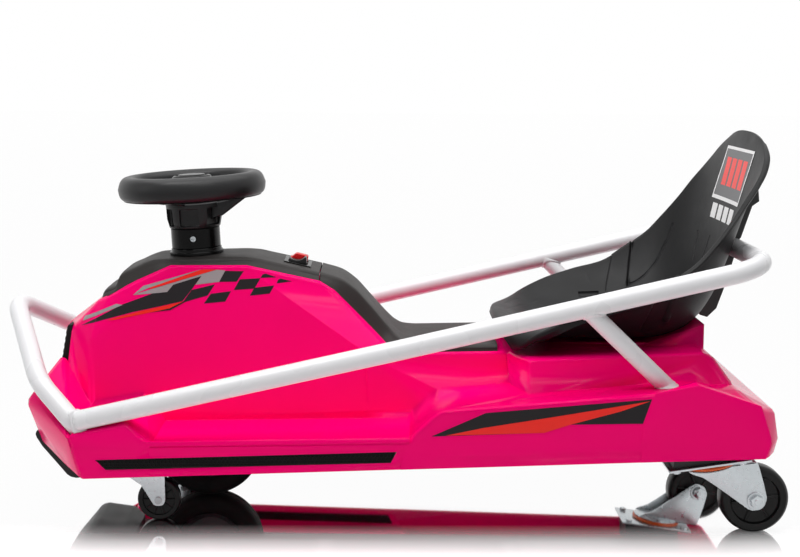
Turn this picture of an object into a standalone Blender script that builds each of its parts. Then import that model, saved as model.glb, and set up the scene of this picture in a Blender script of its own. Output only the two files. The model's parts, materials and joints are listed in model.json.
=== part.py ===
# Electric drift kart for a child. A moulded body stands on a steel frame, a bucket seat sits inside
# a guard rail, the powered front wheel steers with the wheel above the hood, two small rollers run
# beside it and two tilted swivel casters carry the tail.
# Metres. X runs to the tail, Y to the driver's right, Z up. The ground is Z = 0.
import bpy
import bmesh
from math import atan, cos, pi, radians, sin, sqrt, tan
from mathutils import Matrix, Vector

# Fits
GAP = 0.0003
RUNNING = 0.0004
WALL = 0.003

# Body
BODY_HALF = 0.222
SKIRT_DRAFT = 0.006
NOSE_HALF = 0.125
HUMP_TOP_HALF = 0.0635
HUMP_BASE_HALF = 0.100
CONSOLE_HALF = 0.092
PEDESTAL_HALF = BODY_HALF - 0.057
EDGE_ROUND = 0.004
SADDLE_DEPTH = 0.009
BLOCK_BASE = 0.050
NOSE_X = -0.467
CORNER_X = -0.394
WELL_FRONT_X = -0.290
WELL_REAR_X = 0.0152
TAIL_X = 0.487
FLOOR_HEIGHT = 0.1316
PITCH = 0.0157
RIM_LIP = 0.004
EDGE_HEIGHT = 0.0955
EDGE_SLOPE = 0.0338
NOSE_EDGE = (-0.455, -0.379)
NOSE_SLOPE = 0.322
HOOD_TOP = 0.3280
HUMP_LINE = [(-0.3816, HOOD_TOP - 0.0461), (-0.3325, HOOD_TOP - 0.0206), (-0.2876, HOOD_TOP - 0.0005),
             (-0.187, HOOD_TOP), (-0.0905, HOOD_TOP - 0.0205), (-0.070, HOOD_TOP - 0.0330),
             (0.079, 0.1445)]
CONSOLE_FRONT = 0.2164
CONSOLE_RISE = 0.0195
SHELF_FRONT = 0.066
SHELF_HEIGHT = 0.171
SHELF_SLOPE = 0.0872
PEDESTAL_FRONT = 0.178
PEDESTAL_REAR = 0.4121
PEDESTAL_TOP = 0.2243
PEDESTAL_RISE = 0.043

# Side strips and front grille
STRIP_THICKNESS = 0.0025
GRILLE_X = -0.4340
GRILLE_THICKNESS = 0.004
GRILLE_HALF = 0.043
GRILLE_LOW = 0.183
GRILLE_HIGH = 0.229

# Hood trim
TRIM_TOP_HALF = 0.050
TRIM_BASE_HALF = 0.0585
TRIM_CONSOLE_HALF = 0.0870
TRIM_RISE = 0.0082
TRIM_SEAM_X = -0.078
TRIM_TAIL_X = 0.157

# Tubes
TUBE_RADIUS = 0.0125
TUBE_SIDES = 12
HOOP_APEX = (-0.5077, 0.0, 0.274)
HOOP_BEND = (-0.4395, BODY_HALF - 0.054, 0.194)
HOOP_JOINT = (-0.385, BODY_HALF - 0.013, 0.148)
HOOP_END = (-0.368, BODY_HALF - 0.044, 0.1135)
RAIL_HALF = BODY_HALF + 0.001
RAIL_FRONT = (-0.372, BODY_HALF - 0.009, 0.1575)
RAIL_KNEE_X = 0.0
RAIL_REAR_X = 0.479
RAIL_SLOPE = 0.235
RAIL_HEIGHT = 0.2443
RAIL_CORNER = 0.080
STRUT_TOP_X = 0.2404
STRUT_FOOT = (0.349, BODY_HALF - 0.032)
STRUT_RADIUS = 0.011
STRUT_PAD = 0.019
STRUT_PAD_SHEET = 0.003

# Steering and drive wheel
DRIVE_RADIUS = 0.0725
DRIVE_WIDTH = 0.044
DRIVE_RIM = 0.046
DRIVE_X = -0.245
RAKE = radians(3.2)
SHAFT_RADIUS = 0.008
SHAFT_ROOM = 0.004
HOOD_DEPTH = 0.070
AXLE_RADIUS = 0.006
FORK_SHEET = 0.004
CROWN_RADIUS = 0.030
CROWN_THICKNESS = 0.006
WHEEL_CLEARANCE = 0.0045
BUSH_FLANGE = 0.0025
HEAD_RADIUS = 0.017
HEAD_BORE = 0.0125
HEAD_LENGTH = 0.052
MOTOR_RADIUS = 0.021
MOTOR_LENGTH = 0.046
GEARBOX_RADIUS = 0.034
GEARBOX_DEPTH = 0.018
RING_RADIUS = 0.0875
RING_HALF_WIDTH = 0.013
RING_HALF_HEIGHT = 0.014
HUB_RADIUS = 0.0375
HUB_HEIGHT = 0.034
HUB_DROP = 0.006
COLLAR_RADIUS = 0.033
COLLAR_HEIGHT = 0.027
FLANGE_RADIUS = 0.036
FLANGE_HEIGHT = 0.0085

# Front rollers
ROLLER_RADIUS = 0.028
ROLLER_WIDTH = 0.015
ROLLER_X = -0.298
ROLLER_Y = 0.120
ROLLER_SHEET = 0.002
RIVET_RADIUS = 0.004

# Rear casters
CASTER_RADIUS = 0.044
CASTER_WIDTH = 0.030
CASTER_X = 0.413
CASTER_Y = BODY_HALF - 0.062
CASTER_TILT = radians(8.5)
CASTER_TRAIL = 0.0519
CASTER_DROP = 0.0492
CASTER_SHEET = 0.0025
PLATE_THICKNESS = 0.0028
PLATE_HALF_LENGTH = 0.053
PLATE_HALF_WIDTH = 0.030
RACE_RADIUS = 0.0300
RACE_HEIGHT = 0.0050
KINGPIN_RADIUS = 0.005

# Frame
BAR = 0.020
RAIL_BAR_Y = 0.125
FRAME_FRONT = -0.365
FRAME_REAR = 0.440

# Seat
SEAT_SHELL = 0.0045
SEAT_ROWS = 10
SPINE_HALF = 0.048

# Battery and controller
TRAY_SHEET = 0.002
TRAY_X = (0.197, 0.372)
TRAY_HALF = 0.130
TRAY_MARGIN = 0.003
BATTERY = (0.150, 0.130, 0.076)
BATTERY_Y = -0.109
CONTROLLER = (0.040, 0.080, 0.030)
CONTROLLER_Y = 0.027

# Pedal
PEDAL_Y = BODY_HALF - 0.062
PEDAL_X = -0.225
PEDAL_LENGTH = 0.072
PEDAL_WIDTH = 0.060
PEDAL_ANGLE = radians(36)
PEDAL_PIN = 0.002
PEDAL_AXLE_HEIGHT = 0.0090
EAR_INSET = 0.006
EAR_SHEET = 0.0025

# Switches
SWITCH_X = -0.122
BEZEL_LENGTH = 0.037
BEZEL_WIDTH = 0.054
BEZEL_LIP = 0.0018
SWITCH_BODY = 0.0150
ROCKER_REACH = 0.0118
ROCKER_WIDTH = 0.017
ROCKER_SPACING = 0.0110
ROCKER_WELL = 0.0131


for old in list(bpy.data.objects):
    bpy.data.objects.remove(old)


# Materials


def linear(channel):
    """One sRGB channel, 0 to 1, as scene-linear light."""
    return channel / 12.92 if channel <= 0.04045 else ((channel + 0.055) / 1.055) ** 2.4


def material(name, colour, roughness, metallic=0.0):
    """A plain surface from a hex colour, a roughness and a metallic value."""
    made = bpy.data.materials.new(name)
    made.use_nodes = True
    shader = made.node_tree.nodes["Principled BSDF"]
    rgb = [linear(int(colour[i:i + 2], 16) / 255) for i in (0, 2, 4)]
    shader.inputs["Base Color"].default_value = (*rgb, 1)
    shader.inputs["Roughness"].default_value = roughness
    shader.inputs["Metallic"].default_value = metallic
    made.diffuse_color = (*rgb, 1)
    return made


# Shapes


def keep(bm, matrix=None):
    """Close up, turn the faces outwards and move a shape to its place."""
    bmesh.ops.remove_doubles(bm, verts=bm.verts[:], dist=0.000002)
    bmesh.ops.recalc_face_normals(bm, faces=bm.faces[:])
    if matrix is not None:
        bm.transform(matrix)
    return bm


def hull(points, matrix=None):
    """The convex block round some points."""
    bm = bmesh.new()
    for point in points:
        bm.verts.new(point)
    bmesh.ops.remove_doubles(bm, verts=bm.verts[:], dist=0.000002)
    made = bmesh.ops.convex_hull(bm, input=bm.verts[:])
    loose = {item for item in made["geom_interior"] + made["geom_unused"]
             if isinstance(item, bmesh.types.BMVert)}
    bmesh.ops.delete(bm, geom=list(loose), context="VERTS")
    bmesh.ops.dissolve_limit(bm, angle_limit=radians(0.4), verts=bm.verts[:], edges=bm.edges[:])
    return keep(bm, matrix)


def box(xs, ys, zs, matrix=None):
    """A block between two X, two Y and two Z values."""
    return hull([(x, y, z) for x in xs for y in ys for z in zs], matrix)


def prism(outline, low, high, matrix=None):
    """An outline of (x, z) points drawn out along Y."""
    bm = bmesh.new()
    face = bm.faces.new([bm.verts.new((x, low, z)) for x, z in outline])
    made = bmesh.ops.extrude_face_region(bm, geom=[face])
    moved = [item for item in made["geom"] if isinstance(item, bmesh.types.BMVert)]
    bmesh.ops.translate(bm, verts=moved, vec=(0, high - low, 0))
    return keep(bm, matrix)


def turned(profile, steps, closed=False, matrix=None):
    """A profile of (radius, height) points turned round Z. An open one ends on the axis."""
    bm = bmesh.new()
    verts = [bm.verts.new((radius, 0, height)) for radius, height in profile]
    edges = [bm.edges.new(pair) for pair in zip(verts, verts[1:])]
    if closed:
        edges.append(bm.edges.new((verts[-1], verts[0])))
    bmesh.ops.spin(bm, geom=verts + edges, axis=(0, 0, 1), cent=(0, 0, 0), angle=2 * pi,
                   steps=steps, use_merge=True)
    return keep(bm, matrix)


def rod(radius, low, high, steps=16, matrix=None):
    """A round bar along Z."""
    return turned([(0, low), (radius, low), (radius, high), (0, high)], steps, matrix=matrix)


def bent(points, radii, turn=radians(16)):
    """A path through points, each inner corner rounded to its radius."""
    path = [Vector(points[0])]
    for before, corner, after, radius in zip(points, points[1:], points[2:], radii):
        corner = Vector(corner)
        back = (Vector(before) - corner).normalized()
        onward = (Vector(after) - corner).normalized()
        half = back.angle(onward) / 2
        centre = corner + (back + onward).normalized() * radius / sin(half)
        start = corner + back * radius / tan(half) - centre
        end = corner + onward * radius / tan(half) - centre
        axis = start.cross(end).normalized()
        steps = max(2, round(start.angle(end) / turn))
        for step in range(steps + 1):
            path.append(centre + Matrix.Rotation(start.angle(end) * step / steps, 3, axis) @ start)
    path.append(Vector(points[-1]))
    return path


def tube(path, radius, sides=TUBE_SIDES):
    """A round tube along a path, with capped ends."""
    curve = bpy.data.curves.new("run", "CURVE")
    curve.dimensions = "3D"
    curve.bevel_depth = radius
    curve.bevel_resolution = (sides - 4) // 2
    curve.use_fill_caps = True
    spline = curve.splines.new("POLY")
    spline.points.add(len(path) - 1)
    for point, place in zip(spline.points, path):
        point.co = (*place, 1)
    holder = bpy.data.objects.new("run", curve)
    bpy.context.scene.collection.objects.link(holder)
    graph = bpy.context.evaluated_depsgraph_get()
    mesh = bpy.data.meshes.new_from_object(holder.evaluated_get(graph))
    bm = bmesh.new()
    bm.from_mesh(mesh)
    bpy.data.objects.remove(holder)
    return keep(bm)


def lofted(sections):
    """A solid through sections with the same number of points, capped at both ends."""
    bm = bmesh.new()
    loops = [[bm.verts.new(point) for point in section] for section in sections]
    for one, two in zip(loops, loops[1:]):
        for k in range(len(one)):
            bm.faces.new((one[k - 1], one[k], two[k], two[k - 1]))
    bm.faces.new(loops[0])
    bm.faces.new(loops[-1])
    return keep(bm)


def rounded(bm, width, angle=25, segments=2):
    """Round the edges sharper than an angle."""
    sharp = [edge for edge in bm.edges if edge.calc_face_angle(0) > radians(angle)]
    bmesh.ops.bevel(bm, geom=sharp, offset=width, segments=segments, profile=0.5,
                    affect="EDGES", clamp_overlap=True)
    return keep(bm)


def inside(points, wall, base):
    """The room inside a convex block: each face but the lowest moved in by the wall."""
    block = hull(points)
    room = box((-2, 2), (-2, 2), (base, 2))
    for face in block.faces:
        if face.normal.z < -0.9:
            continue
        room_geom = room.verts[:] + room.edges[:] + room.faces[:]
        bmesh.ops.bisect_plane(room, geom=room_geom, dist=0.0000001,
                               plane_co=face.calc_center_median() - face.normal * wall,
                               plane_no=face.normal, clear_outer=True)
        bmesh.ops.holes_fill(room, edges=[e for e in room.edges if e.is_boundary], sides=0)
    block.free()
    return keep(room)


def place(name, bm, look, parent=None, smooth=None):
    """Put a shape in the scene as a named piece."""
    mesh = bpy.data.meshes.new(name)
    bm.to_mesh(mesh)
    bm.free()
    mesh.materials.append(look)
    if smooth is not None:
        mesh.shade_smooth()
        mesh.set_sharp_from_angle(angle=radians(smooth))
    made = bpy.data.objects.new(name, mesh)
    bpy.context.scene.collection.objects.link(made)
    made.parent = parent
    return made


def combine(bm, operation, tools):
    """Join shapes to a shape, or cut them out of it."""
    if not tools:
        return bm
    scratch = material("scratch", "808080", 0.5)
    body = place("blank", bm, scratch)
    others = [place("tool", tool, scratch) for tool in tools]
    for other in others:
        step = body.modifiers.new("step", "BOOLEAN")
        step.operation = operation
        step.solver = "EXACT"
        step.object = other
    graph = bpy.context.evaluated_depsgraph_get()
    mesh = bpy.data.meshes.new_from_object(body.evaluated_get(graph))
    made = bmesh.new()
    made.from_mesh(mesh)
    for thing in others + [body]:
        bpy.data.objects.remove(thing)
    bpy.data.materials.remove(scratch)
    bmesh.ops.dissolve_limit(made, angle_limit=radians(0.2), verts=made.verts[:],
                             edges=made.edges[:])
    bmesh.ops.remove_doubles(made, verts=made.verts[:], dist=0.000002)
    return made


def join(bm, *tools):
    return combine(bm, "UNION", tools)


def cut(bm, *tools):
    return combine(bm, "DIFFERENCE", tools)


def both(points):
    """The points and their mirror images across the centre plane."""
    return [(x, side * y, z) for x, y, z in points for side in (1, -1)]


def axis_frame(name, origin, tilt=0.0):
    """An empty on a joint's axis, tipped forwards by an angle."""
    holder = bpy.data.objects.new(name, None)
    bpy.context.scene.collection.objects.link(holder)
    holder.location = origin
    holder.rotation_euler = (0, -tilt, 0)
    return holder


def tipped(origin, tilt):
    """The matrix of such an empty."""
    return Matrix.Translation(origin) @ Matrix.Rotation(-tilt, 4, "Y")


ALONG_Y = Matrix.Rotation(radians(-90), 4, "X")

body_paint = material("pink_body", "FF0090", 0.22)
trim_grey = material("dark_trim", "4A4748", 0.55)
mesh_black = material("black_mesh", "141414", 0.6)
pan_black = material("black_pan", "1A1A1A", 0.5)
tube_white = material("white_tube", "EDEDF0", 0.3)
frame_black = material("black_frame", "202022", 0.5)
seat_black = material("black_seat", "2C2C2D", 0.5)
bracket_black = material("black_bracket", "161616", 0.5)
wheel_black = material("steering_black", "1D1D1E", 0.45)
column_black = material("column_black", "151515", 0.3)
tyre_black = material("drive_tyre", "18181A", 0.75)
hub_grey = material("drive_hub", "3A3A3D", 0.5)
roller_black = material("roller_black", "1C1C1E", 0.5)
zinc = material("zinc_steel", "B9BFC2", 0.3, 1.0)
steel = material("plain_steel", "9A9DA0", 0.35, 1.0)
race_orange = material("orange_race", "D86018", 0.45)
bush_plastic = material("bush_plastic", "C9C6BD", 0.5)
motor_steel = material("motor_can", "70747A", 0.35, 1.0)
battery_case = material("battery_case", "3B3F45", 0.5)
controller_case = material("controller_case", "8B8E92", 0.4, 1.0)
pedal_black = material("pedal_black", "1B1B1B", 0.6)
rocker_red = material("rocker_red", "D81920", 0.3)
rocker_black = material("rocker_black", "121212", 0.3)


# Heights that several pieces share


def floor_z(x):
    """The footwell floor."""
    return FLOOR_HEIGHT + PITCH * x


def edge_z(x):
    """The body's lower edge, which turns up sharply under the nose."""
    turn = NOSE_EDGE[1]
    return EDGE_HEIGHT + EDGE_SLOPE * max(x, turn) + NOSE_SLOPE * max(turn - x, 0)


def frame_z(x):
    """The top of the steel frame, just under the moulded floor."""
    return floor_z(x) - WALL - GAP


def console_z(x):
    return CONSOLE_FRONT + CONSOLE_RISE * x


def pedestal_z(x):
    return PEDESTAL_TOP + PEDESTAL_RISE * (x - PEDESTAL_FRONT)


def hump_z(x):
    """The ridge of the hood at x."""
    for (x0, z0), (x1, z1) in zip(HUMP_LINE, HUMP_LINE[1:]):
        if x <= x1:
            break
    return z0 + (z1 - z0) * (x - x0) / (x1 - x0)


def shelf_z(x):
    """The ledge beside the pedestal."""
    return SHELF_HEIGHT + SHELF_SLOPE * (x - SHELF_FRONT)


def rail_z(x):
    return RAIL_HEIGHT + RAIL_SLOPE * x


# The column stands on the trim, which lies on the hood: heights along the raked axis, from the axle
COLUMN_SEAT = (HOOD_TOP + TRIM_RISE - DRIVE_RADIUS) / cos(RAKE)
FLANGE_LOW = COLUMN_SEAT + GAP
COLLAR_LOW = FLANGE_LOW + FLANGE_HEIGHT + GAP
HUB_LOW = COLLAR_LOW + COLLAR_HEIGHT + GAP
HUB_HIGH = HUB_LOW + HUB_HEIGHT
RING_HEIGHT = HUB_HIGH + HUB_DROP + RING_HALF_HEIGHT


def column_seat_z(x):
    """The trim's flat seat under the steering column, square to the steering axis."""
    return HOOD_TOP + TRIM_RISE + tan(RAKE) * (x - DRIVE_X + sin(RAKE) * COLUMN_SEAT)


# Seat surface


# Centre line and rim of the seat, front lip to top: (centre x, centre z, rim x, half width, rim z,
# how squarely the section turns up)
SEAT_SECTIONS = [
    (0.1430, 0.2500, 0.1630, 0.146, 0.2385, 3.0),
    (0.1490, 0.2590, 0.1720, 0.158, 0.2395, 3.0),
    (0.1720, 0.2560, 0.1930, 0.163, 0.2475, 3.5),
    (0.2100, 0.2440, 0.2280, 0.164, 0.2670, 4.5),
    (0.2600, 0.2397, 0.2740, 0.166, 0.2830, 5.0),
    (0.3120, 0.2397, 0.3200, 0.168, 0.2980, 5.0),
    (0.3560, 0.2410, 0.3520, 0.169, 0.3230, 4.5),
    (0.3930, 0.2540, 0.3830, 0.169, 0.3480, 4.0),
    (0.4200, 0.2850, 0.4070, 0.167, 0.3746, 3.5),
    (0.4400, 0.3330, 0.4290, 0.160, 0.4030, 3.0),
    (0.4540, 0.3850, 0.4460, 0.154, 0.4280, 2.8),
    (0.4650, 0.4280, 0.4600, 0.148, 0.4475, 2.6),
    (0.4740, 0.4620, 0.4710, 0.138, 0.4650, 2.4),
    (0.4800, 0.4880, 0.4790, 0.118, 0.4820, 2.2),
    (0.4830, 0.5035, 0.4840, 0.078, 0.4965, 2.2),
]
SEAT_BOTTOM = min(section[1] for section in SEAT_SECTIONS) - SEAT_SHELL
SEAT_ROLL_OUT = 0.005
SEAT_ROLL_DOWN = 0.006


def seat_grid():
    """Rows of points over the seat's upper face, with the rim rolled outwards at each side."""
    rows = []
    for centre_x, centre_z, rim_x, half, rim_z, square in SEAT_SECTIONS:
        row = [(rim_x, -half - SEAT_ROLL_OUT, rim_z - SEAT_ROLL_DOWN)]
        for k in range(SEAT_ROWS + 1):
            across = 2 * k / SEAT_ROWS - 1
            lift = abs(across) ** square
            row.append((centre_x + (rim_x - centre_x) * lift, half * across,
                        centre_z + (rim_z - centre_z) * lift))
        row.append((rim_x, half + SEAT_ROLL_OUT, rim_z - SEAT_ROLL_DOWN))
        rows.append(row)
    return rows


def seat_skin(below, above):
    """A closed shell from a depth below the seat's upper face to a height above it."""
    grid = seat_grid()
    bm = bmesh.new()
    rows = [[bm.verts.new(point) for point in row] for row in grid]
    for one, two in zip(rows, rows[1:]):
        for k in range(1, len(one)):
            a, b, c, d = one[k - 1], two[k - 1], two[k], one[k]
            if 2 * k <= len(one) - 1:
                a, b, c, d = b, c, d, a
            bm.faces.new((a, b, c))
            bm.faces.new((a, c, d))
    bm.normal_update()
    if rows[4][SEAT_ROWS // 2].normal.z < 0:
        bmesh.ops.reverse_faces(bm, faces=bm.faces[:])
        bm.normal_update()
    base = {vert: vert.co.copy() for vert in bm.verts}
    normals = {vert: vert.normal.copy() for vert in bm.verts}
    upper = list(base)
    lower = {vert: bm.verts.new(base[vert] - normals[vert] * below) for vert in upper}
    for face in bm.faces[:]:
        bm.faces.new([lower[vert] for vert in reversed(face.verts)])
    border = rows[0] + [row[-1] for row in rows[1:]] + rows[-1][-2::-1] \
        + [row[0] for row in rows[-2:0:-1]]
    for one, two in zip(border, border[1:] + border[:1]):
        bm.faces.new((one, two, lower[two], lower[one]))
    for vert in upper:
        vert.co = base[vert] + normals[vert] * above
    return keep(bm)


# Bumper hoop, guard rail and struts


def hoop_path(past=0.0):
    """The hoop's centre line, or the same run on past both ends for its seats."""
    end = Vector(HOOP_END)
    end += (end - Vector(HOOP_JOINT)).normalized() * past
    half = [HOOP_APEX, HOOP_BEND, HOOP_JOINT, tuple(end)]
    left = [(x, -y, z) for x, y, z in reversed(half[1:])]
    return bent(left + half, [0.030, 0.055, 0.040, 0.055, 0.030])


def rail_path():
    front = Vector(RAIL_FRONT)
    half = [tuple(front), (RAIL_KNEE_X, RAIL_HALF, rail_z(RAIL_KNEE_X)),
            (RAIL_REAR_X, RAIL_HALF, rail_z(RAIL_REAR_X))]
    left = [(x, -y, z) for x, y, z in half]
    return bent(left + half[::-1], [0.4, RAIL_CORNER, RAIL_CORNER, 0.4])


def strut_points(side):
    x, y = STRUT_FOOT
    return [Vector((STRUT_TOP_X, side * RAIL_HALF, rail_z(STRUT_TOP_X))),
            Vector((x, side * y, shelf_z(x) + GAP))]


def strut_shape(side, grow=0.0):
    top, foot = strut_points(side)
    reach = (top - foot).normalized()
    bar = tube([foot - reach * 0.02, top], STRUT_RADIUS + grow)
    slope = Matrix.Translation(foot) @ Matrix.Rotation(-atan(SHELF_SLOPE), 4, "Y")
    pad = rod(STRUT_PAD + grow, -grow, STRUT_PAD_SHEET + grow, 16, slope)
    bar = cut(bar, box((-0.1, 0.1), (-0.1, 0.1), (-0.1, -grow), slope))
    return join(bar, pad)


hoop = tube(hoop_path(), TUBE_RADIUS)
rail = cut(tube(rail_path(), TUBE_RADIUS), tube(hoop_path(), TUBE_RADIUS + GAP))
place("front_bumper_hoop", hoop, tube_white, smooth=40)
place("guard_rail", rail, tube_white, smooth=40)
for side, word in ((-1, "left"), (1, "right")):
    strut = cut(strut_shape(side), tube(rail_path(), TUBE_RADIUS + GAP))
    place("rail_strut_" + word, strut, tube_white, smooth=40)


# Moulded body


B = BLOCK_BASE
H = BODY_HALF
LOW = BODY_HALF - SKIRT_DRAFT
TUB = both([(CORNER_X + 0.002, H, floor_z(CORNER_X)), (0.464, H, floor_z(0.464)),
            (TAIL_X, H - 0.032, floor_z(TAIL_X)), (-0.372, LOW, B), (0.452, LOW, B),
            (TAIL_X - 0.012, H - 0.036, B)])
NOSE = both([(NOSE_X, NOSE_HALF, 0.1575), (NOSE_X + 0.011, NOSE_HALF + 0.005, 0.172),
             (NOSE_X + 0.035, NOSE_HALF - 0.012, B), (CORNER_X, H, 0.138),
             (CORNER_X + 0.0224, LOW - 0.003, B), (-0.437, 0.04, 0.203), (-0.424, 0.08, 0.180),
             (-0.387, 0.115, 0.150), (-0.370, 0.115, B)])
WEDGE = both([(CORNER_X, H, 0.138), (-0.322, H, 0.153), (WELL_FRONT_X, H, floor_z(WELL_FRONT_X)),
              (-0.387, 0.085, 0.155), (-0.322, 0.085, 0.167),
              (WELL_FRONT_X, 0.085, floor_z(WELL_FRONT_X)), (CORNER_X + 0.0224, LOW, B),
              (WELL_FRONT_X, LOW, B), (-0.37, 0.085, B)])
HUMP = both([(-0.436, 0, 0.240), (-0.422, 0.05, 0.239), (-0.447, 0, 0.178), (-0.431, 0.05, 0.1714),
             (-0.425, 0, B), (-0.412, 0.05, B), (-0.392, 0.080, 0.226),
             (-0.392, HUMP_BASE_HALF, 0.145), (-0.392, HUMP_BASE_HALF, B),
             (HUMP_LINE[0][0], HUMP_TOP_HALF - 0.004, HUMP_LINE[0][1]),
             (HUMP_LINE[-1][0], HUMP_BASE_HALF, HUMP_LINE[-1][1]),
             (HUMP_LINE[-1][0], HUMP_BASE_HALF, B)]
            + [(x, HUMP_TOP_HALF, z) for x, z in HUMP_LINE[1:-1]])
CONSOLE = both([(-0.03, CONSOLE_HALF, console_z(-0.03)), (TRIM_TAIL_X, CONSOLE_HALF,
                                                         console_z(TRIM_TAIL_X)),
                (-0.03, HUMP_BASE_HALF, 0.14), (PEDESTAL_FRONT, HUMP_BASE_HALF, 0.14),
                (-0.03, HUMP_BASE_HALF, B), (PEDESTAL_FRONT, HUMP_BASE_HALF, B)])
P = PEDESTAL_HALF
PEDESTAL = both([(TRIM_TAIL_X, CONSOLE_HALF, console_z(TRIM_TAIL_X)),
                 (PEDESTAL_FRONT, P, PEDESTAL_TOP), (PEDESTAL_REAR - 0.014, P,
                                                    pedestal_z(PEDESTAL_REAR - 0.014)),
                 (PEDESTAL_REAR, P - 0.003, pedestal_z(PEDESTAL_REAR) - 0.005),
                 (PEDESTAL_REAR + 0.026, P - 0.004, 0.195), (PEDESTAL_REAR + 0.040, P, 0.160),
                 (TRIM_TAIL_X + 0.003, CONSOLE_HALF, 0.15), (PEDESTAL_FRONT, P + 0.004, 0.15),
                 (PEDESTAL_FRONT, P + 0.004, B), (PEDESTAL_REAR + 0.040, P, B),
                 (TRIM_TAIL_X + 0.003, CONSOLE_HALF, B)])
SEAT_PAD = both([(x, y, z) for x in (0.205, 0.342)
                 for y, z in ((0.105, SEAT_BOTTOM - GAP), (0.110, 0.215), (0.110, B))])
R = PEDESTAL_REAR - 0.002
RISER = both([(0.330, 0.105, SEAT_BOTTOM - 0.004), (R, 0.118, 0.262), (R, 0.120, 0.215),
              (0.330, 0.110, 0.215), (0.330, 0.110, B), (R, 0.120, B)])
FLANK = both([(WELL_REAR_X, H, 0.1155), (0.0335, H, 0.1435), (0.0537, H, 0.1625),
              (SHELF_FRONT, H, SHELF_HEIGHT), (0.329, H, shelf_z(0.329)), (0.372, H - 0.03, shelf_z(0.372)),
              (0.437, H - 0.03, 0.193), (0.461, H, 0.1745), (TAIL_X, H - 0.032, 0.165),
              (TAIL_X + 0.0065, H - 0.034, 0.130), (TAIL_X - 0.012, H - 0.036, B),
              (0.4755, H, 0.130), (0.452, LOW, B), (WELL_REAR_X - 0.01, LOW, B)])


def corner_block(side):
    """The raised faceted block at a rear corner."""
    points = [(0.329, H, 0.194), (0.314, H + 0.0004, 0.151), (0.314, H + 0.0008, 0.134),
              (0.3815, H + 0.004, 0.205), (0.380, H - 0.004, 0.208), (0.380, H - 0.014, 0.206),
              (0.461, H, 0.1785), (0.458, H - 0.016, 0.1785), (0.4645, H, 0.171),
              (0.4755, H + 0.0015, 0.1375), (0.475, H + 0.0015, 0.128), (0.452, LOW, B),
              (0.314, LOW + 0.0008, B), (0.335, H - 0.024, 0.190), (0.445, H - 0.034, 0.176),
              (0.335, H - 0.024, B), (0.445, H - 0.034, B)]
    return [(x, side * y, z) for x, y, z in points]


def rim_strip(side):
    """The low lip along the footwell's outer edge."""
    ends = (WELL_FRONT_X - 0.02, WELL_REAR_X + 0.012)
    return [(x, side * y, floor_z(x) + z) for x in ends for y in (H - 0.0055, H - 0.0002)
            for z in (RIM_LIP, -0.002)]


def strip_outline(grow=0.0):
    """The outline of a side strip's opening, in (x, z)."""
    wide = 2.4 * grow
    return [(-0.347 - wide, 0.095 - grow), (0.004 + wide, 0.105 - grow), (0.0115 + wide, 0.119 + grow),
            (-0.361 - wide, 0.1075 + grow)]


BLOCKS = [TUB, NOSE, WEDGE, HUMP, CONSOLE, PEDESTAL, FLANK]
outer = [rounded(hull(block), EDGE_ROUND, segments=1)
         for block in BLOCKS + [corner_block(1), corner_block(-1)]]
outer += [hull(SEAT_PAD), hull(RISER)] + [hull(rim_strip(side)) for side in (1, -1)]
shell = join(outer[0], *outer[1:])
rooms = [inside(block, WALL, B - 0.01) for block in BLOCKS + [SEAT_PAD]]
rooms.append(inside(RISER, WALL + SADDLE_DEPTH, B - 0.01))
shell = cut(shell, *rooms)

# The lower edge rises towards the tail, and sharply under the nose
edge_low = [(-0.6, -0.1), (-0.6, edge_z(-0.6)), (NOSE_EDGE[1], edge_z(NOSE_EDGE[1])),
            (0.6, edge_z(0.6)), (0.6, -0.1)]
shell = cut(shell, prism(edge_low, -0.5, 0.5))

steer_origin = Vector((DRIVE_X, 0, DRIVE_RADIUS))
STEER = tipped(steer_origin, RAKE)


def shaft_hole():
    """The hole in the hood and the trim that the shaft passes with room."""
    return rod(SHAFT_RADIUS + SHAFT_ROOM, COLUMN_SEAT - HOOD_DEPTH, COLUMN_SEAT + HOOD_DEPTH / 2, 20, STEER)


def in_front_face(half, low, high, depth):
    """A block through the front of the hood, between two heights."""
    return box((-0.50, -0.40 + depth), (-half, half), (low, high))


seat_saddle = seat_skin(SEAT_SHELL + GAP, 0.006)
strips = [prism(strip_outline(), *sorted((side * (H - 0.012), side * (H + 0.01))))
          for side in (1, -1)]
struts = [strut_shape(side, GAP) for side in (1, -1)]
shell = cut(shell, seat_saddle, tube(hoop_path(), TUBE_RADIUS + 0.0008),
            in_front_face(GRILLE_HALF, GRILLE_LOW, GRILLE_HIGH, 0), *strips, *struts,
            shaft_hole())


# Hood trim


def trim_sections(stations):
    """Sections of a raised strip on the hood: base (x, z, half width) and top (x, z, half width)."""
    made = []
    for (base_x, base_z, base_half), (top_x, top_z, top_half) in stations:
        made.append([(base_x, -base_half, base_z + GAP), (top_x, -top_half, top_z),
                     (top_x, top_half, top_z), (base_x, base_half, base_z + GAP)])
    return made


def on_hump(x, half=TRIM_BASE_HALF):
    return (x, hump_z(x), half)


T = TRIM_TOP_HALF
SEAM_TOP = HOOD_TOP - 0.0135
FLAT_REAR = (-0.1789, HOOD_TOP + 0.0090)


def trim_top(x):
    """The sloping top between the flat and the seam."""
    return FLAT_REAR[1] + (SEAM_TOP - FLAT_REAR[1]) * (x - FLAT_REAR[0]) / (TRIM_SEAM_X - FLAT_REAR[0])


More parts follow.
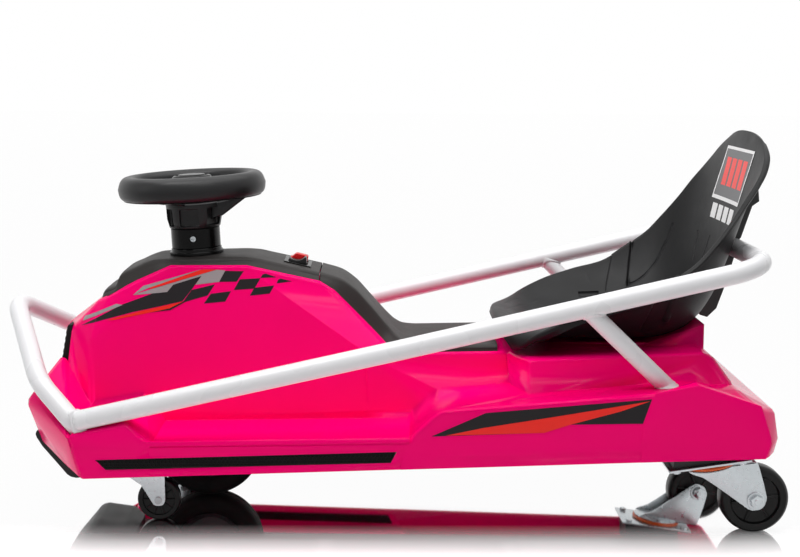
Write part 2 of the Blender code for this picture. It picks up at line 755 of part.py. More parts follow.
front_stations = [
    ((-0.3985, HOOD_TOP - 0.0586, 0.050), (-0.3955, HOOD_TOP - 0.0550, 0.046)),
    ((HUMP_LINE[0][0], HUMP_LINE[0][1], 0.054), (-0.3745, HOOD_TOP - 0.0390, 0.048)),
    (on_hump(-0.362, 0.056), (-0.3665, HOOD_TOP - 0.0250, 0.048)),
    (on_hump(-0.3325), (-0.328, HOOD_TOP - 0.0085, T)),
    (on_hump(-0.2876), (-0.2975, column_seat_z(-0.2975), T)),
    (on_hump(-0.230), (-0.2215, column_seat_z(-0.2215), T)),
    (on_hump(-0.187), (*FLAT_REAR, T)),
    (on_hump(-0.0905), (-0.0905, trim_top(-0.0905), T)),
    (on_hump(TRIM_SEAM_X), (TRIM_SEAM_X, SEAM_TOP, T)),
]
C = TRIM_CONSOLE_HALF
seam = TRIM_SEAM_X + 0.0006
rear_stations = [
    (on_hump(seam), (seam, SEAM_TOP, T)),
    (on_hump(-0.070), (-0.0633, hump_z(-0.070) + 0.0158, T)),
    (on_hump(-0.0535), (-0.0446, hump_z(-0.0535) + 0.0193, T)),
    (on_hump(-0.0350), (-0.0258, hump_z(-0.0350) + 0.0172, T)),
    (on_hump(-0.0100, 0.063), (0.0035, hump_z(-0.0100) + 0.0100, T + 0.007)),
    (on_hump(0.0008, 0.072), (0.0135, hump_z(0.0008) + 0.0110, T + 0.018)),
    ((0.0088, console_z(0.0088), 0.080), (0.0240, console_z(0.0088) + 0.0112, C - 0.006)),
    ((0.0300, console_z(0.0300), C), (0.0420, console_z(0.0300) + 0.0080, C - 0.003)),
    ((0.1450, console_z(0.1450), C), (0.1450, console_z(0.1450) + 0.0080, C - 0.003)),
    ((TRIM_TAIL_X, console_z(TRIM_TAIL_X), C - 0.006),
     (TRIM_TAIL_X - 0.003, console_z(TRIM_TAIL_X) + 0.0055, C - 0.010)),
]
switch_slope = atan((FLAT_REAR[1] - SEAM_TOP) / (TRIM_SEAM_X - FLAT_REAR[0]))
SWITCH = Matrix.Translation((SWITCH_X, 0, trim_top(SWITCH_X))) @ Matrix.Rotation(switch_slope, 4, "Y")
body_half = (BEZEL_LENGTH / 2 - 0.0015, BEZEL_WIDTH / 2 - 0.0015)
switch_hole = ((-body_half[0] - GAP, body_half[0] + GAP), (-body_half[1] - GAP, body_half[1] + GAP),
               (-0.03, 0.01))
shell = cut(shell, box(*switch_hole, SWITCH))
place("body_shell", shell, body_paint, smooth=28)

front_trim = lofted(trim_sections(front_stations))
front_trim = cut(front_trim, shaft_hole(), box(*switch_hole, SWITCH))
place("hood_trim_front", front_trim, trim_grey, smooth=28)
rear_trim = cut(lofted(trim_sections(rear_stations)), seat_skin(SEAT_SHELL + GAP, 0.012))
place("hood_trim_rear", rear_trim, trim_grey, smooth=28)


# Nose pan, grilles


lip = GAP / cos(atan(NOSE_SLOPE))
pan_line = [(-0.4520, edge_z(-0.4520) - lip), (-0.4512, 0.1010), (-0.4440, 0.0970), (-0.3860, 0.0785),
            (-0.3750, 0.0775), (-0.3560, 0.0780), (-0.3560, edge_z(-0.3560) - GAP),
            (NOSE_EDGE[1], edge_z(NOSE_EDGE[1]) - lip)]
pan = prism(pan_line, -NOSE_HALF + 0.005, NOSE_HALF - 0.005)
place("nose_pan", pan, pan_black)

grille = box((GRILLE_X, GRILLE_X + GRILLE_THICKNESS), (-GRILLE_HALF + GAP, GRILLE_HALF - GAP),
             (GRILLE_LOW + GAP, GRILLE_HIGH - GAP))
place("front_grille", grille, mesh_black)
for side, word in ((-1, "left"), (1, "right")):
    face = side * (H - 0.0038)
    back = side * (H - 0.0038 - STRIP_THICKNESS)
    strip = prism(strip_outline(-GAP), *sorted((face, back)))
    place("side_grille_" + word, strip, mesh_black)


# Steel frame


def bar(x0, x1, y0, y1, step=0.0):
    """A bar under the floor, following its pitch, and set in a little from the side bars' faces."""
    return hull([(x, y, frame_z(x) - z) for x in (x0, x1) for y in (y0, y1) for z in (step, BAR - step)])


half_bar = BAR / 2
CROWN_TOP = DRIVE_RADIUS + WHEEL_CLEARANCE + CROWN_THICKNESS
HEAD_LOW = CROWN_TOP + GAP + BUSH_FLANGE + GAP
HEAD_HIGH = HEAD_LOW + HEAD_LENGTH
arch_x = steer_origin.x - sin(RAKE) * (HEAD_LOW + 0.02)
arch_low = frame_z(arch_x) - BAR
arch_beam = steer_origin.z + HEAD_LOW + 0.012
caster_z = CASTER_RADIUS - CASTER_TRAIL * sin(CASTER_TILT) + CASTER_DROP * cos(CASTER_TILT)

frame = bar(FRAME_FRONT, FRAME_REAR, RAIL_BAR_Y - half_bar, RAIL_BAR_Y + half_bar)
members = [bar(FRAME_FRONT, FRAME_REAR, -RAIL_BAR_Y - half_bar, -RAIL_BAR_Y + half_bar),
           bar(FRAME_FRONT - BAR + 0.003, FRAME_FRONT + 0.003, 0.030 - BODY_HALF, BODY_HALF - 0.030, 0.001),
           bar(-0.100, -0.100 + BAR, -RAIL_BAR_Y, RAIL_BAR_Y, 0.001),
           bar(0.175, 0.175 + BAR, -RAIL_BAR_Y, RAIL_BAR_Y, 0.001),
           bar(CASTER_X - 0.035, CASTER_X + 0.015, -CASTER_Y - 0.030, CASTER_Y + 0.030, 0.001)]
for side in (1, -1):
    members.append(bar(arch_x - 0.018, arch_x + 0.018, *sorted((side * 0.074, side * RAIL_BAR_Y)), 0.001))
    members.append(hull([(arch_x + dx, side * y, z) for dx in (-0.017, 0.017)
                         for y, z in ((0.073, arch_low + 0.002), (0.090, arch_low + 0.002),
                                      (0.064, arch_beam + 0.018), (0.076, arch_beam + 0.018))]))
    seat_top = tipped((CASTER_X, side * CASTER_Y, caster_z), CASTER_TILT)
    wedge = [seat_top @ Vector((u, v, PLATE_THICKNESS + GAP)) for u in (-0.050, 0.030)
             for v in (-0.028, 0.028)]
    wedge += [Vector((p.x, p.y, frame_z(p.x) - BAR / 2)) for p in wedge]
    members.append(hull(wedge))
members.append(box((arch_x - 0.016, arch_x + 0.016), (-0.068, 0.068), (arch_beam, arch_beam + 0.017)))
members.append(rod(HEAD_RADIUS, HEAD_LOW, HEAD_HIGH, 24, STEER))
frame = join(frame, *members)
frame = cut(frame, rod(HEAD_BORE, HEAD_LOW - 0.01, HEAD_HIGH + 0.01, 24, STEER),
            tube(hoop_path(GAP), TUBE_RADIUS + GAP))
place("chassis_frame", frame, frame_black, smooth=28)


# Steering and drive wheel


steering = axis_frame("steering_axis", steer_origin, RAKE)

bush_radius = HEAD_BORE - GAP
bush_inner = SHAFT_RADIUS + RUNNING
low_bush = turned([(bush_inner, HEAD_LOW - GAP - BUSH_FLANGE), (HEAD_RADIUS, HEAD_LOW - GAP - BUSH_FLANGE),
                   (HEAD_RADIUS, HEAD_LOW - GAP), (bush_radius, HEAD_LOW - GAP),
                   (bush_radius, HEAD_LOW + 0.014), (bush_inner, HEAD_LOW + 0.014)], 16, True)
high_bush = turned([(bush_inner, HEAD_HIGH - 0.014), (bush_radius, HEAD_HIGH - 0.014),
                    (bush_radius, HEAD_HIGH + GAP), (HEAD_RADIUS, HEAD_HIGH + GAP),
                    (HEAD_RADIUS, HEAD_HIGH + GAP + BUSH_FLANGE),
                    (bush_inner, HEAD_HIGH + GAP + BUSH_FLANGE)], 16, True)
for bm, name in ((low_bush, "head_bush_lower"), (high_bush, "head_bush_upper")):
    place(name, bm, bush_plastic, steering, smooth=40)

shaft_top = HUB_HIGH - 0.010
shaft = rod(SHAFT_RADIUS, CROWN_TOP + GAP, shaft_top, 20)
place("steering_shaft", shaft, steel, steering, smooth=40)

leg_inner = DRIVE_WIDTH / 2 + WHEEL_CLEARANCE
crown_low = CROWN_TOP - CROWN_THICKNESS
fork = rod(CROWN_RADIUS, crown_low, CROWN_TOP, 24)
legs = []
for side in (1, -1):
    outline = [(-0.017, CROWN_TOP), (-0.017, 0.0)]
    outline += [(-0.017 * cos(k * pi / 6), -0.017 * sin(k * pi / 6)) for k in range(1, 6)]
    outline += [(0.017, 0.0), (0.017, CROWN_TOP)]
    legs.append(prism(outline, *sorted((side * leg_inner, side * (leg_inner + FORK_SHEET)))))
fork = join(fork, *legs, box((-0.017, 0.017), (-leg_inner - FORK_SHEET, leg_inner + FORK_SHEET),
                             (crown_low, CROWN_TOP)))
fork = cut(fork, rod(AXLE_RADIUS + GAP, -0.06, 0.06, 20, ALONG_Y))
place("drive_fork", fork, frame_black, steering, smooth=28)

gear_low = leg_inner + FORK_SHEET + GAP
gearbox = rod(GEARBOX_RADIUS, gear_low, gear_low + GEARBOX_DEPTH, 24, ALONG_Y)
can = rod(MOTOR_RADIUS, gear_low + GEARBOX_DEPTH - 0.001, gear_low + GEARBOX_DEPTH + MOTOR_LENGTH, 24, ALONG_Y)
gearbox = join(gearbox, can)
axle_reach = leg_inner + FORK_SHEET
gearbox = cut(gearbox, rod(AXLE_RADIUS + GAP, 0, gear_low + 0.010, 20, ALONG_Y))
place("drive_motor", gearbox, motor_steel, steering, smooth=40)

axle = join(rod(AXLE_RADIUS, -axle_reach - 0.006, gear_low + 0.008, 20, ALONG_Y),
            rod(AXLE_RADIUS + 0.004, -axle_reach - 0.006, -axle_reach - GAP, 6, ALONG_Y))
place("drive_axle", axle, steel, steering, smooth=28)

half = DRIVE_WIDTH / 2
hub_wide = half - 0.004
hub = turned([(AXLE_RADIUS + RUNNING, -half - 0.001), (0.014, -half - 0.001), (0.016, -0.006),
              (DRIVE_RIM - 0.009, -0.006), (DRIVE_RIM - GAP, -hub_wide), (DRIVE_RIM - GAP, hub_wide),
              (DRIVE_RIM - 0.009, 0.006), (0.016, 0.006), (0.014, half + 0.001),
              (AXLE_RADIUS + RUNNING, half + 0.001)], 24, True, ALONG_Y)
place("drive_hub", hub, hub_grey, steering, smooth=28)
tyre = turned([(DRIVE_RIM, -hub_wide), (DRIVE_RIM + 0.010, -half), (DRIVE_RADIUS - 0.007, -half),
               (DRIVE_RADIUS, -half + 0.008), (DRIVE_RADIUS, half - 0.008), (DRIVE_RADIUS - 0.007, half),
               (DRIVE_RIM + 0.010, half), (DRIVE_RIM, hub_wide)], 36, True, ALONG_Y)
place("drive_tyre", tyre, tyre_black, steering, smooth=40)

flange = turned([(SHAFT_RADIUS + 0.0012, FLANGE_LOW), (FLANGE_RADIUS, FLANGE_LOW),
                 (FLANGE_RADIUS, FLANGE_LOW + 0.0045), (FLANGE_RADIUS - 0.002, FLANGE_LOW + 0.0052),
                 (FLANGE_RADIUS - 0.002, FLANGE_LOW + FLANGE_HEIGHT),
                 (SHAFT_RADIUS + 0.0012, FLANGE_LOW + FLANGE_HEIGHT)], 24, True)
place("column_flange", flange, column_black, steering, smooth=28)

screw_z = COLLAR_LOW + COLLAR_HEIGHT / 2
screw_sink = Matrix.Translation((0, 0, screw_z)) @ Matrix.Rotation(radians(90), 4, "X")
collar = turned([(SHAFT_RADIUS + GAP, COLLAR_LOW), (COLLAR_RADIUS, COLLAR_LOW),
                 (COLLAR_RADIUS, COLLAR_LOW + COLLAR_HEIGHT), (SHAFT_RADIUS + GAP, COLLAR_LOW + COLLAR_HEIGHT)],
                24, True)
collar = cut(collar, rod(0.0042, 0.022, 0.04, 16, screw_sink), rod(0.0022, 0.008, 0.03, 12, screw_sink))
place("steering_column", collar, column_black, steering, smooth=28)
screw = join(rod(0.0042 - GAP, 0.0262, 0.0305, 16, screw_sink),
             rod(0.0022 - GAP, SHAFT_RADIUS + GAP, 0.0272, 12, screw_sink))
screw = cut(screw, box((-0.0005, 0.0005), (-0.0026, 0.0026), (0.0285, 0.032), screw_sink),
            box((-0.0026, 0.0026), (-0.0005, 0.0005), (0.0285, 0.032), screw_sink))
place("column_screw", screw, zinc, steering)

rim_section = []
for k in range(10):
    angle = 2 * pi * k / 10
    rim_section.append((RING_RADIUS + RING_HALF_WIDTH * cos(angle),
                        RING_HEIGHT + RING_HALF_HEIGHT * sin(angle)))
wheel = turned(rim_section, 28, True)
hub_body = turned([(0, HUB_LOW), (HUB_RADIUS - 0.004, HUB_LOW), (HUB_RADIUS, HUB_HIGH - 0.004),
                   (HUB_RADIUS - 0.002, HUB_HIGH), (0, HUB_HIGH)], 30)
spokes = []
for angle in (0, radians(125), radians(-125)):
    turn = Matrix.Rotation(angle, 4, "Z")
    spokes.append(hull([(x, y, z) for x, half, low, high in (
        (0.028, 0.016, HUB_LOW + 0.012, HUB_HIGH - 0.002), (0.050, 0.014, HUB_LOW + 0.020, HUB_HIGH + 0.004),
        (RING_RADIUS, 0.0115, RING_HEIGHT - 0.010, RING_HEIGHT + 0.002))
        for y in (-half, half) for z in (low, high)], turn))
wheel = join(wheel, hub_body, *spokes)
flutes = []
for k in range(10):
    turn = Matrix.Rotation(2 * pi * (k + 0.5) / 10, 4, "Z")
    flutes.append(rod(0.0065, HUB_LOW - 0.01, HUB_LOW + 0.017, 8,
                      turn @ Matrix.Translation((HUB_RADIUS + 0.0022, 0, 0))))
wheel = cut(wheel, rod(SHAFT_RADIUS + GAP, HUB_LOW - 0.01, shaft_top + GAP, 20), *flutes)
place("steering_wheel", wheel, wheel_black, steering, smooth=35)
cap = turned([(0, HUB_HIGH + GAP), (0.030, HUB_HIGH + GAP), (0.031, HUB_HIGH + 0.008),
              (0.028, HUB_HIGH + 0.0125), (0, HUB_HIGH + 0.014)], 24)
place("steering_cap", cap, column_black, steering, smooth=35)


# Front rollers


for side, word in ((-1, "left"), (1, "right")):
    hold = axis_frame("front_roller_axis_" + word, (ROLLER_X, side * ROLLER_Y, ROLLER_RADIUS))
    inner = ROLLER_WIDTH / 2 + 0.0015
    outer_half = inner + ROLLER_SHEET
    top = frame_z(ROLLER_X) - BAR - GAP - ROLLER_RADIUS + PITCH * -0.001
    cheeks = []
    for cheek in (1, -1):
        outline = [(-0.0385, top - 0.0009), (0.0058, top), (0.0075, top - 0.030)]
        outline += [(0.0068 * cos(radians(a)), 0.0068 * sin(radians(a))) for a in (0, -40, -80, -120, -160)]
        cheeks.append(prism(outline, *sorted((cheek * inner, cheek * outer_half))))
    web = hull([(x, y, top - 0.0009 + (0.0009 if x > 0 else 0) - z) for x in (-0.0385, 0.0058)
                for y in (-outer_half, outer_half) for z in (0, ROLLER_SHEET)])
    bracket = join(web, *cheeks)
    bracket = cut(bracket, rod(RIVET_RADIUS - 0.001 + GAP, -0.03, 0.03, 12, ALONG_Y))
    place("front_roller_bracket_" + word, bracket, zinc, hold, smooth=28)
    pin = join(rod(RIVET_RADIUS - 0.001, -outer_half - 0.002, outer_half + 0.002, 12, ALONG_Y),
               rod(RIVET_RADIUS + 0.001, outer_half + GAP, outer_half + 0.0022, 12, ALONG_Y),
               rod(RIVET_RADIUS + 0.001, -outer_half - 0.0022, -outer_half - GAP, 12, ALONG_Y))
    place("front_roller_pin_" + word, pin, steel, hold, smooth=28)
    w = ROLLER_WIDTH / 2
    bore = RIVET_RADIUS - 0.001 + RUNNING
    roller = turned([(bore, -w - 0.001), (0.0075, -w - 0.001), (0.008, -w + 0.002),
                     (ROLLER_RADIUS - 0.007, -w + 0.002), (ROLLER_RADIUS - 0.0055, -w),
                     (ROLLER_RADIUS, -w + 0.0008), (ROLLER_RADIUS, w - 0.0008), (ROLLER_RADIUS - 0.0055, w),
                     (ROLLER_RADIUS - 0.007, w - 0.002), (0.008, w - 0.002), (0.0075, w + 0.001),
                     (bore, w + 0.001)], 20, True, ALONG_Y)
    place("front_roller_" + word, roller, roller_black, hold, smooth=35)


# Rear swivel casters


for side, word in ((-1, "left"), (1, "right")):
    hold = axis_frame("rear_swivel_axis_" + word, (CASTER_X, side * CASTER_Y, caster_z), CASTER_TILT)
    crown_top = -GAP - RACE_HEIGHT - GAP
    crown_low = crown_top - 0.0035
    plate = box((-PLATE_HALF_LENGTH, PLATE_HALF_LENGTH), (-PLATE_HALF_WIDTH, PLATE_HALF_WIDTH),
                (0, PLATE_THICKNESS))
    plate = rounded(plate, 0.0008, segments=1)
    plate = join(plate, rod(KINGPIN_RADIUS, crown_low - 0.003, 0.001, 16),
                 rod(KINGPIN_RADIUS + 0.003, crown_low - 0.0035, crown_low - GAP, 16))
    place("rear_caster_plate_" + word, plate, zinc, hold, smooth=28)
    race_low = -GAP - RACE_HEIGHT
    race_section = [(RACE_RADIUS - 0.010, race_low), (RACE_RADIUS - 0.0015, race_low),
                    (RACE_RADIUS, race_low + RACE_HEIGHT / 2), (RACE_RADIUS - 0.0015, -GAP),
                    (RACE_RADIUS - 0.010, -GAP)]
    place("rear_caster_race_" + word, turned(race_section, 24, True), race_orange, hold, smooth=50)
    inner = CASTER_WIDTH / 2 + 0.0015
    outer_half = inner + CASTER_SHEET
    crown = turned([(KINGPIN_RADIUS + RUNNING, crown_low), (RACE_RADIUS - 0.003, crown_low),
                    (RACE_RADIUS - 0.001, crown_top - 0.001), (RACE_RADIUS - 0.002, crown_top),
                    (KINGPIN_RADIUS + RUNNING, crown_top)], 20, True)
    cheeks = []
    for cheek in (1, -1):
        foot = (CASTER_TRAIL, -CASTER_DROP)
        outline = [(-0.022, crown_top - 0.0008), (0.024, crown_top - 0.0008), (0.0480, crown_top - 0.004),
                   (0.0525, crown_top - 0.012)]
        outline += [(foot[0] + 0.0105 * cos(radians(a)), foot[1] + 0.0105 * sin(radians(a)))
                    for a in (10, -25, -60, -95, -130)]
        outline += [(0.006, crown_low - 0.010), (-0.018, crown_low - 0.004)]
        cheeks.append(prism(outline, *sorted((cheek * inner, cheek * outer_half))))
    fork = join(crown, *cheeks)
    at_wheel = Matrix.Translation((CASTER_TRAIL, 0, -CASTER_DROP)) @ ALONG_Y
    fork = cut(fork, rod(0.004 + GAP, -0.05, 0.05, 12, at_wheel))
    place("rear_caster_fork_" + word, fork, zinc, hold, smooth=28)
    bolt = join(rod(0.004, -outer_half - 0.0075, outer_half + 0.0075, 12, at_wheel),
                rod(0.0068, outer_half + GAP, outer_half + 0.0055, 6, at_wheel),
                rod(0.0068, -outer_half - 0.0055, -outer_half - GAP, 6, at_wheel))
    place("rear_caster_axle_" + word, bolt, zinc, hold)
    w = CASTER_WIDTH / 2
    bore = 0.004 + RUNNING
    caster = turned([(bore, -w - 0.001), (0.010, -w - 0.001), (0.0115, -w + 0.004),
                     (CASTER_RADIUS - 0.013, -w + 0.006), (CASTER_RADIUS - 0.0105, -w),
                     (CASTER_RADIUS - 0.004, -w), (CASTER_RADIUS, -w + 0.007), (CASTER_RADIUS, w - 0.007),
                     (CASTER_RADIUS - 0.004, w), (CASTER_RADIUS - 0.0105, w),
                     (CASTER_RADIUS - 0.013, w - 0.006), (0.0115, w - 0.004), (0.010, w + 0.001),
                     (bore, w + 0.001)], 22, True, at_wheel)
    place("rear_caster_wheel_" + word, caster, roller_black, hold, smooth=35)


# Seat


place("seat_shell", seat_skin(SEAT_SHELL, 0.0), seat_black, smooth=50)

spine_line = [(0.4200, 0.2620), (0.4300, 0.2590), (0.4420, 0.2710), (0.4520, 0.3005), (0.4655, 0.3490),
              (0.4845, 0.4090), (0.4935, 0.4155), (0.4920, 0.4300), (0.4740, 0.4400), (0.4500, 0.3800),
              (0.4200, 0.3000)]
spine = cut(prism(spine_line, -SPINE_HALF, SPINE_HALF), seat_skin(SEAT_SHELL + GAP, 0.030),
            tube(rail_path(), TUBE_RADIUS + GAP))
place("seat_back_bracket", spine, bracket_black)

bolt_seat = SEAT_BOTTOM + SEAT_SHELL + 0.0006
for x, word in ((0.270, "front"), (0.308, "rear")):
    for y, hand in ((-0.05, "left"), (0.05, "right")):
        bolt = rod(0.0075, bolt_seat, bolt_seat + 0.004, 6, Matrix.Translation((x, y, 0)))
        place("seat_bolt_" + word + "_" + hand, bolt, zinc)


# Battery and controller


tray = hull([(x, y, frame_z(x) - BAR - GAP - z) for x in TRAY_X for y in (-TRAY_HALF, TRAY_HALF)
             for z in (0, TRAY_SHEET)])
place("battery_tray", tray, frame_black)
tray_top = frame_z(TRAY_X[0]) - BAR - GAP
slope = Matrix.Translation((TRAY_X[0], 0, tray_top)) @ Matrix.Rotation(-atan(PITCH), 4, "Y")
pack = rounded(box((TRAY_MARGIN, TRAY_MARGIN + BATTERY[0]), (BATTERY_Y, BATTERY_Y + BATTERY[1]),
                   (GAP, GAP + BATTERY[2]), slope), 0.002, segments=1)
place("battery_pack", pack, battery_case)
brain = rounded(box((TRAY_MARGIN, TRAY_MARGIN + CONTROLLER[0]), (CONTROLLER_Y, CONTROLLER_Y + CONTROLLER[1]),
                    (GAP, GAP + CONTROLLER[2]), slope), 0.0015, segments=1)
place("motor_controller", brain, controller_case)


# Accelerator pedal


pedal_pivot = Vector((PEDAL_X, PEDAL_Y, floor_z(PEDAL_X) + PEDAL_AXLE_HEIGHT))
pedal_hold = axis_frame("pedal_axis", pedal_pivot, atan(PITCH))
lean = Matrix.Rotation(PEDAL_ANGLE, 4, "Y")
pad = box((-PEDAL_LENGTH, -0.011), (-PEDAL_WIDTH / 2, PEDAL_WIDTH / 2), (0.0012, 0.0060), lean)
between_ears = PEDAL_WIDTH / 2 - EAR_INSET - RUNNING
pedal = join(rounded(pad, 0.0012, segments=1),
             box((-0.015, 0), (-between_ears, between_ears), (0.0005, 0.0052), lean),
             rod(0.0052, -between_ears, between_ears, 16, ALONG_Y))
pedal = cut(pedal, rod(PEDAL_PIN + RUNNING, -0.05, 0.05, 12, ALONG_Y))
place("accelerator_pedal", pedal, pedal_black, pedal_hold, smooth=28)
ear_out = PEDAL_WIDTH / 2 - EAR_INSET + EAR_SHEET
ears = [prism([(-0.009, -0.0080), (0.009, -0.0080), (0.0045, 0.0040), (-0.0045, 0.0040)],
              *sorted((s * (ear_out - EAR_SHEET), s * ear_out))) for s in (1, -1)]
base = box((-0.014, 0.014), (-PEDAL_WIDTH / 2, PEDAL_WIDTH / 2), (GAP - PEDAL_AXLE_HEIGHT, -0.0068))
mount = join(base, *ears, rod(PEDAL_PIN, -ear_out + 0.001, ear_out - 0.001, 12, ALONG_Y))
place("pedal_bracket", mount, frame_black, pedal_hold, smooth=28)


# Switches on the hood


panel = join(box((-BEZEL_LENGTH / 2, BEZEL_LENGTH / 2), (-BEZEL_WIDTH / 2, BEZEL_WIDTH / 2),
                 (GAP, BEZEL_LIP), SWITCH),
             box((-body_half[0], body_half[0]), (-body_half[1], body_half[1]),
                 (-SWITCH_BODY, BEZEL_LIP - 0.0002), SWITCH))
wells = []
for side in (1, -1):
    y = side * ROCKER_SPACING
    wells.append(box((-ROCKER_WELL, ROCKER_WELL), (y - ROCKER_WIDTH / 2 - GAP, y + ROCKER_WIDTH / 2 + GAP),
                     (-ROCKER_WELL - GAP, 0.01), SWITCH))
place("switch_bezel", cut(panel, *wells), column_black)
for side, name, look in ((-1, "direction_rocker", rocker_black), (1, "power_rocker", rocker_red)):
    centre = SWITCH @ Vector((0, side * ROCKER_SPACING, 0))
    hold = axis_frame(name + "_axis", centre, -switch_slope)
    outline = [(-ROCKER_REACH, 0.0048), (0, 0.0024), (ROCKER_REACH, 0.0020)]
    outline += [(0.0124 * cos(radians(a)), 0.0124 * sin(radians(a))) for a in (-20, -50, -90, -130, -160)]
    place(name, prism(outline, -ROCKER_WIDTH / 2, ROCKER_WIDTH / 2), look, hold)
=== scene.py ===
"""The looks of an electric drift kart for a child: fine tubes, seat, steering wheel, wheels, grilles,
stickers, finishes, studio and camera round the packed frame. Metres; X runs to the tail, Z up."""
import json
from math import atan, copysign, cos, pi, radians, sin, sqrt, tan

import bmesh
import bpy
import numpy as np
from bpy.props import FloatProperty, IntProperty, PointerProperty
from mathutils import Matrix, Vector

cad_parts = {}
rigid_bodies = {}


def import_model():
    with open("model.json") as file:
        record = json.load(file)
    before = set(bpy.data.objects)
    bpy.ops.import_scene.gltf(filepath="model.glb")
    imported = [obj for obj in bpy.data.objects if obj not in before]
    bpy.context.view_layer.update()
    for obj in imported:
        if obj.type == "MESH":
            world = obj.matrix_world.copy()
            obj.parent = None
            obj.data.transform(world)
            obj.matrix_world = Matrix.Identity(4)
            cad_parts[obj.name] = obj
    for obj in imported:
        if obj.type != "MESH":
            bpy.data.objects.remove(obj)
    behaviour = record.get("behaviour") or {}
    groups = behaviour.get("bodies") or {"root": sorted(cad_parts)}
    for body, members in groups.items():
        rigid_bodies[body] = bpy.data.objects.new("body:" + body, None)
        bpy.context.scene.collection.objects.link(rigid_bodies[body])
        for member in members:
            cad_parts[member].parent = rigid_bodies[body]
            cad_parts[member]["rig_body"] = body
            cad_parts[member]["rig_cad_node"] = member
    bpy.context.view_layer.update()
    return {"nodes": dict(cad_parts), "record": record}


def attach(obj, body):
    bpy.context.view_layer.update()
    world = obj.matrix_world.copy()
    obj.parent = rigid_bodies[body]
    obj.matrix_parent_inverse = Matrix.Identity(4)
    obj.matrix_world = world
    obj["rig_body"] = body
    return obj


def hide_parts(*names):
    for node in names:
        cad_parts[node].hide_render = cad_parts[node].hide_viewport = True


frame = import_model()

bl_info = {
    "name": "Electric drift kart looks",
    "version": (1, 0, 0),
    "blender": (4, 5, 0),
    "location": "View3D > Sidebar > Kart",
    "description": "Builds the fine pieces, finishes and studio of an electric drift kart",
    "category": "Object",
}

NODES = frame["nodes"]


# Colours and finishes


def linear(code):
    """An sRGB hex code as a linear RGBA colour."""
    made = []
    for start in (0, 2, 4):
        channel = int(code[start:start + 2], 16) / 255
        made.append(channel / 12.92 if channel <= 0.04045 else ((channel + 0.055) / 1.055) ** 2.4)
    return (*made, 1.0)


def node(tree, kind, sockets=None, **settings):
    """Add a node, set it up, and give its sockets values or links."""
    made = tree.nodes.new(kind)
    for key, value in settings.items():
        setattr(made, key, value)
    for key, value in (sockets or {}).items():
        if isinstance(value, bpy.types.NodeSocket):
            tree.links.new(value, made.inputs[key])
        else:
            made.inputs[key].default_value = value
    return made


def blank(name):
    """A new material with only its Principled shader and its output."""
    made = bpy.data.materials.new(name)
    made.use_nodes = True
    shader = made.node_tree.nodes["Principled BSDF"]
    place = node(made.node_tree, "ShaderNodeTexCoord").outputs["Object"]
    return made, made.node_tree, shader, place


def noise(tree, place, scale, detail, roughness=0.5):
    """A soft random pattern."""
    return node(tree, "ShaderNodeTexNoise", {"Vector": place, "Scale": scale, "Detail": detail,
                                             "Roughness": roughness}).outputs["Fac"]


def ranged(tree, value, low, high, start=0.3, end=0.7):
    """A pattern's middle band spread between two levels."""
    return node(tree, "ShaderNodeMapRange", {"Value": value, "From Min": start, "From Max": end,
                                             "To Min": low, "To Max": high}).outputs["Result"]


def coloured(tree, shader, code, level):
    """The base colour, brighter and darker with a level."""
    tint = node(tree, "ShaderNodeHueSaturation", {"Color": linear(code), "Value": level})
    tree.links.new(tint.outputs["Color"], shader.inputs["Base Color"])


def bumped(tree, shader, height, strength, distance, soft=0.0, samples=4):
    """Fine relief, on edges rounded by a soft radius."""
    sockets = {"Height": height, "Strength": strength, "Distance": distance}
    if soft:
        rounded = node(tree, "ShaderNodeBevel", {"Radius": soft}, samples=samples)
        sockets["Normal"] = rounded.outputs["Normal"]
    bump = node(tree, "ShaderNodeBump", sockets)
    tree.links.new(bump.outputs["Normal"], shader.inputs["Normal"])


def plastic(name, code, roughness, grain_mm, grain_depth, soft_mm=0.6, spread=0.04, specular=0.5,
            coarse=0.0):
    """A moulded plastic. Its colour drifts a little with the flow of the melt, its gloss is uneven
    where hands and boxes rubbed it, the tool's grain stands up as fine bumps, and every edge has
    the radius of the tool."""
    made, tree, shader, place = blank(name)
    patches = noise(tree, place, 9.0, 3.0, 0.55)
    coloured(tree, shader, code, ranged(tree, patches, 1.0 - spread, 1.0 + spread))
    rub = noise(tree, place, 38.0, 4.0, 0.6)
    worn = ranged(tree, rub, roughness - 0.03, roughness + 0.05, 0.3, 0.75)
    tree.links.new(worn, shader.inputs["Roughness"])
    height = noise(tree, place, 1000.0 / grain_mm, 2.0)
    if coarse:
        # sink marks and a slow wave, as a thin wall has where it cooled over its ribs
        slow = noise(tree, place, 14.0, 1.0)
        lift = node(tree, "ShaderNodeMath", {0: slow, 1: coarse}, operation="MULTIPLY")
        height = node(tree, "ShaderNodeMath", {0: height, 1: lift.outputs[0]}, operation="ADD").outputs[0]
    bumped(tree, shader, height, grain_depth, 0.0004, soft_mm / 1000.0, 6)
    shader.inputs["Specular IOR Level"].default_value = specular
    return made


def powder(name, code, roughness, peel_mm, peel, spread=0.015):
    """Powder coat baked on steel tube: hard and glossy, with the orange peel of melted powder."""
    made, tree, shader, place = blank(name)
    film = noise(tree, place, 16.0, 2.0)
    coloured(tree, shader, code, ranged(tree, film, 1.0 - spread, 1.0))
    tree.links.new(ranged(tree, film, roughness - 0.03, roughness + 0.05), shader.inputs["Roughness"])
    bumped(tree, shader, noise(tree, place, 1000.0 / peel_mm, 1.5), peel, 0.0003, 0.0012)
    return made


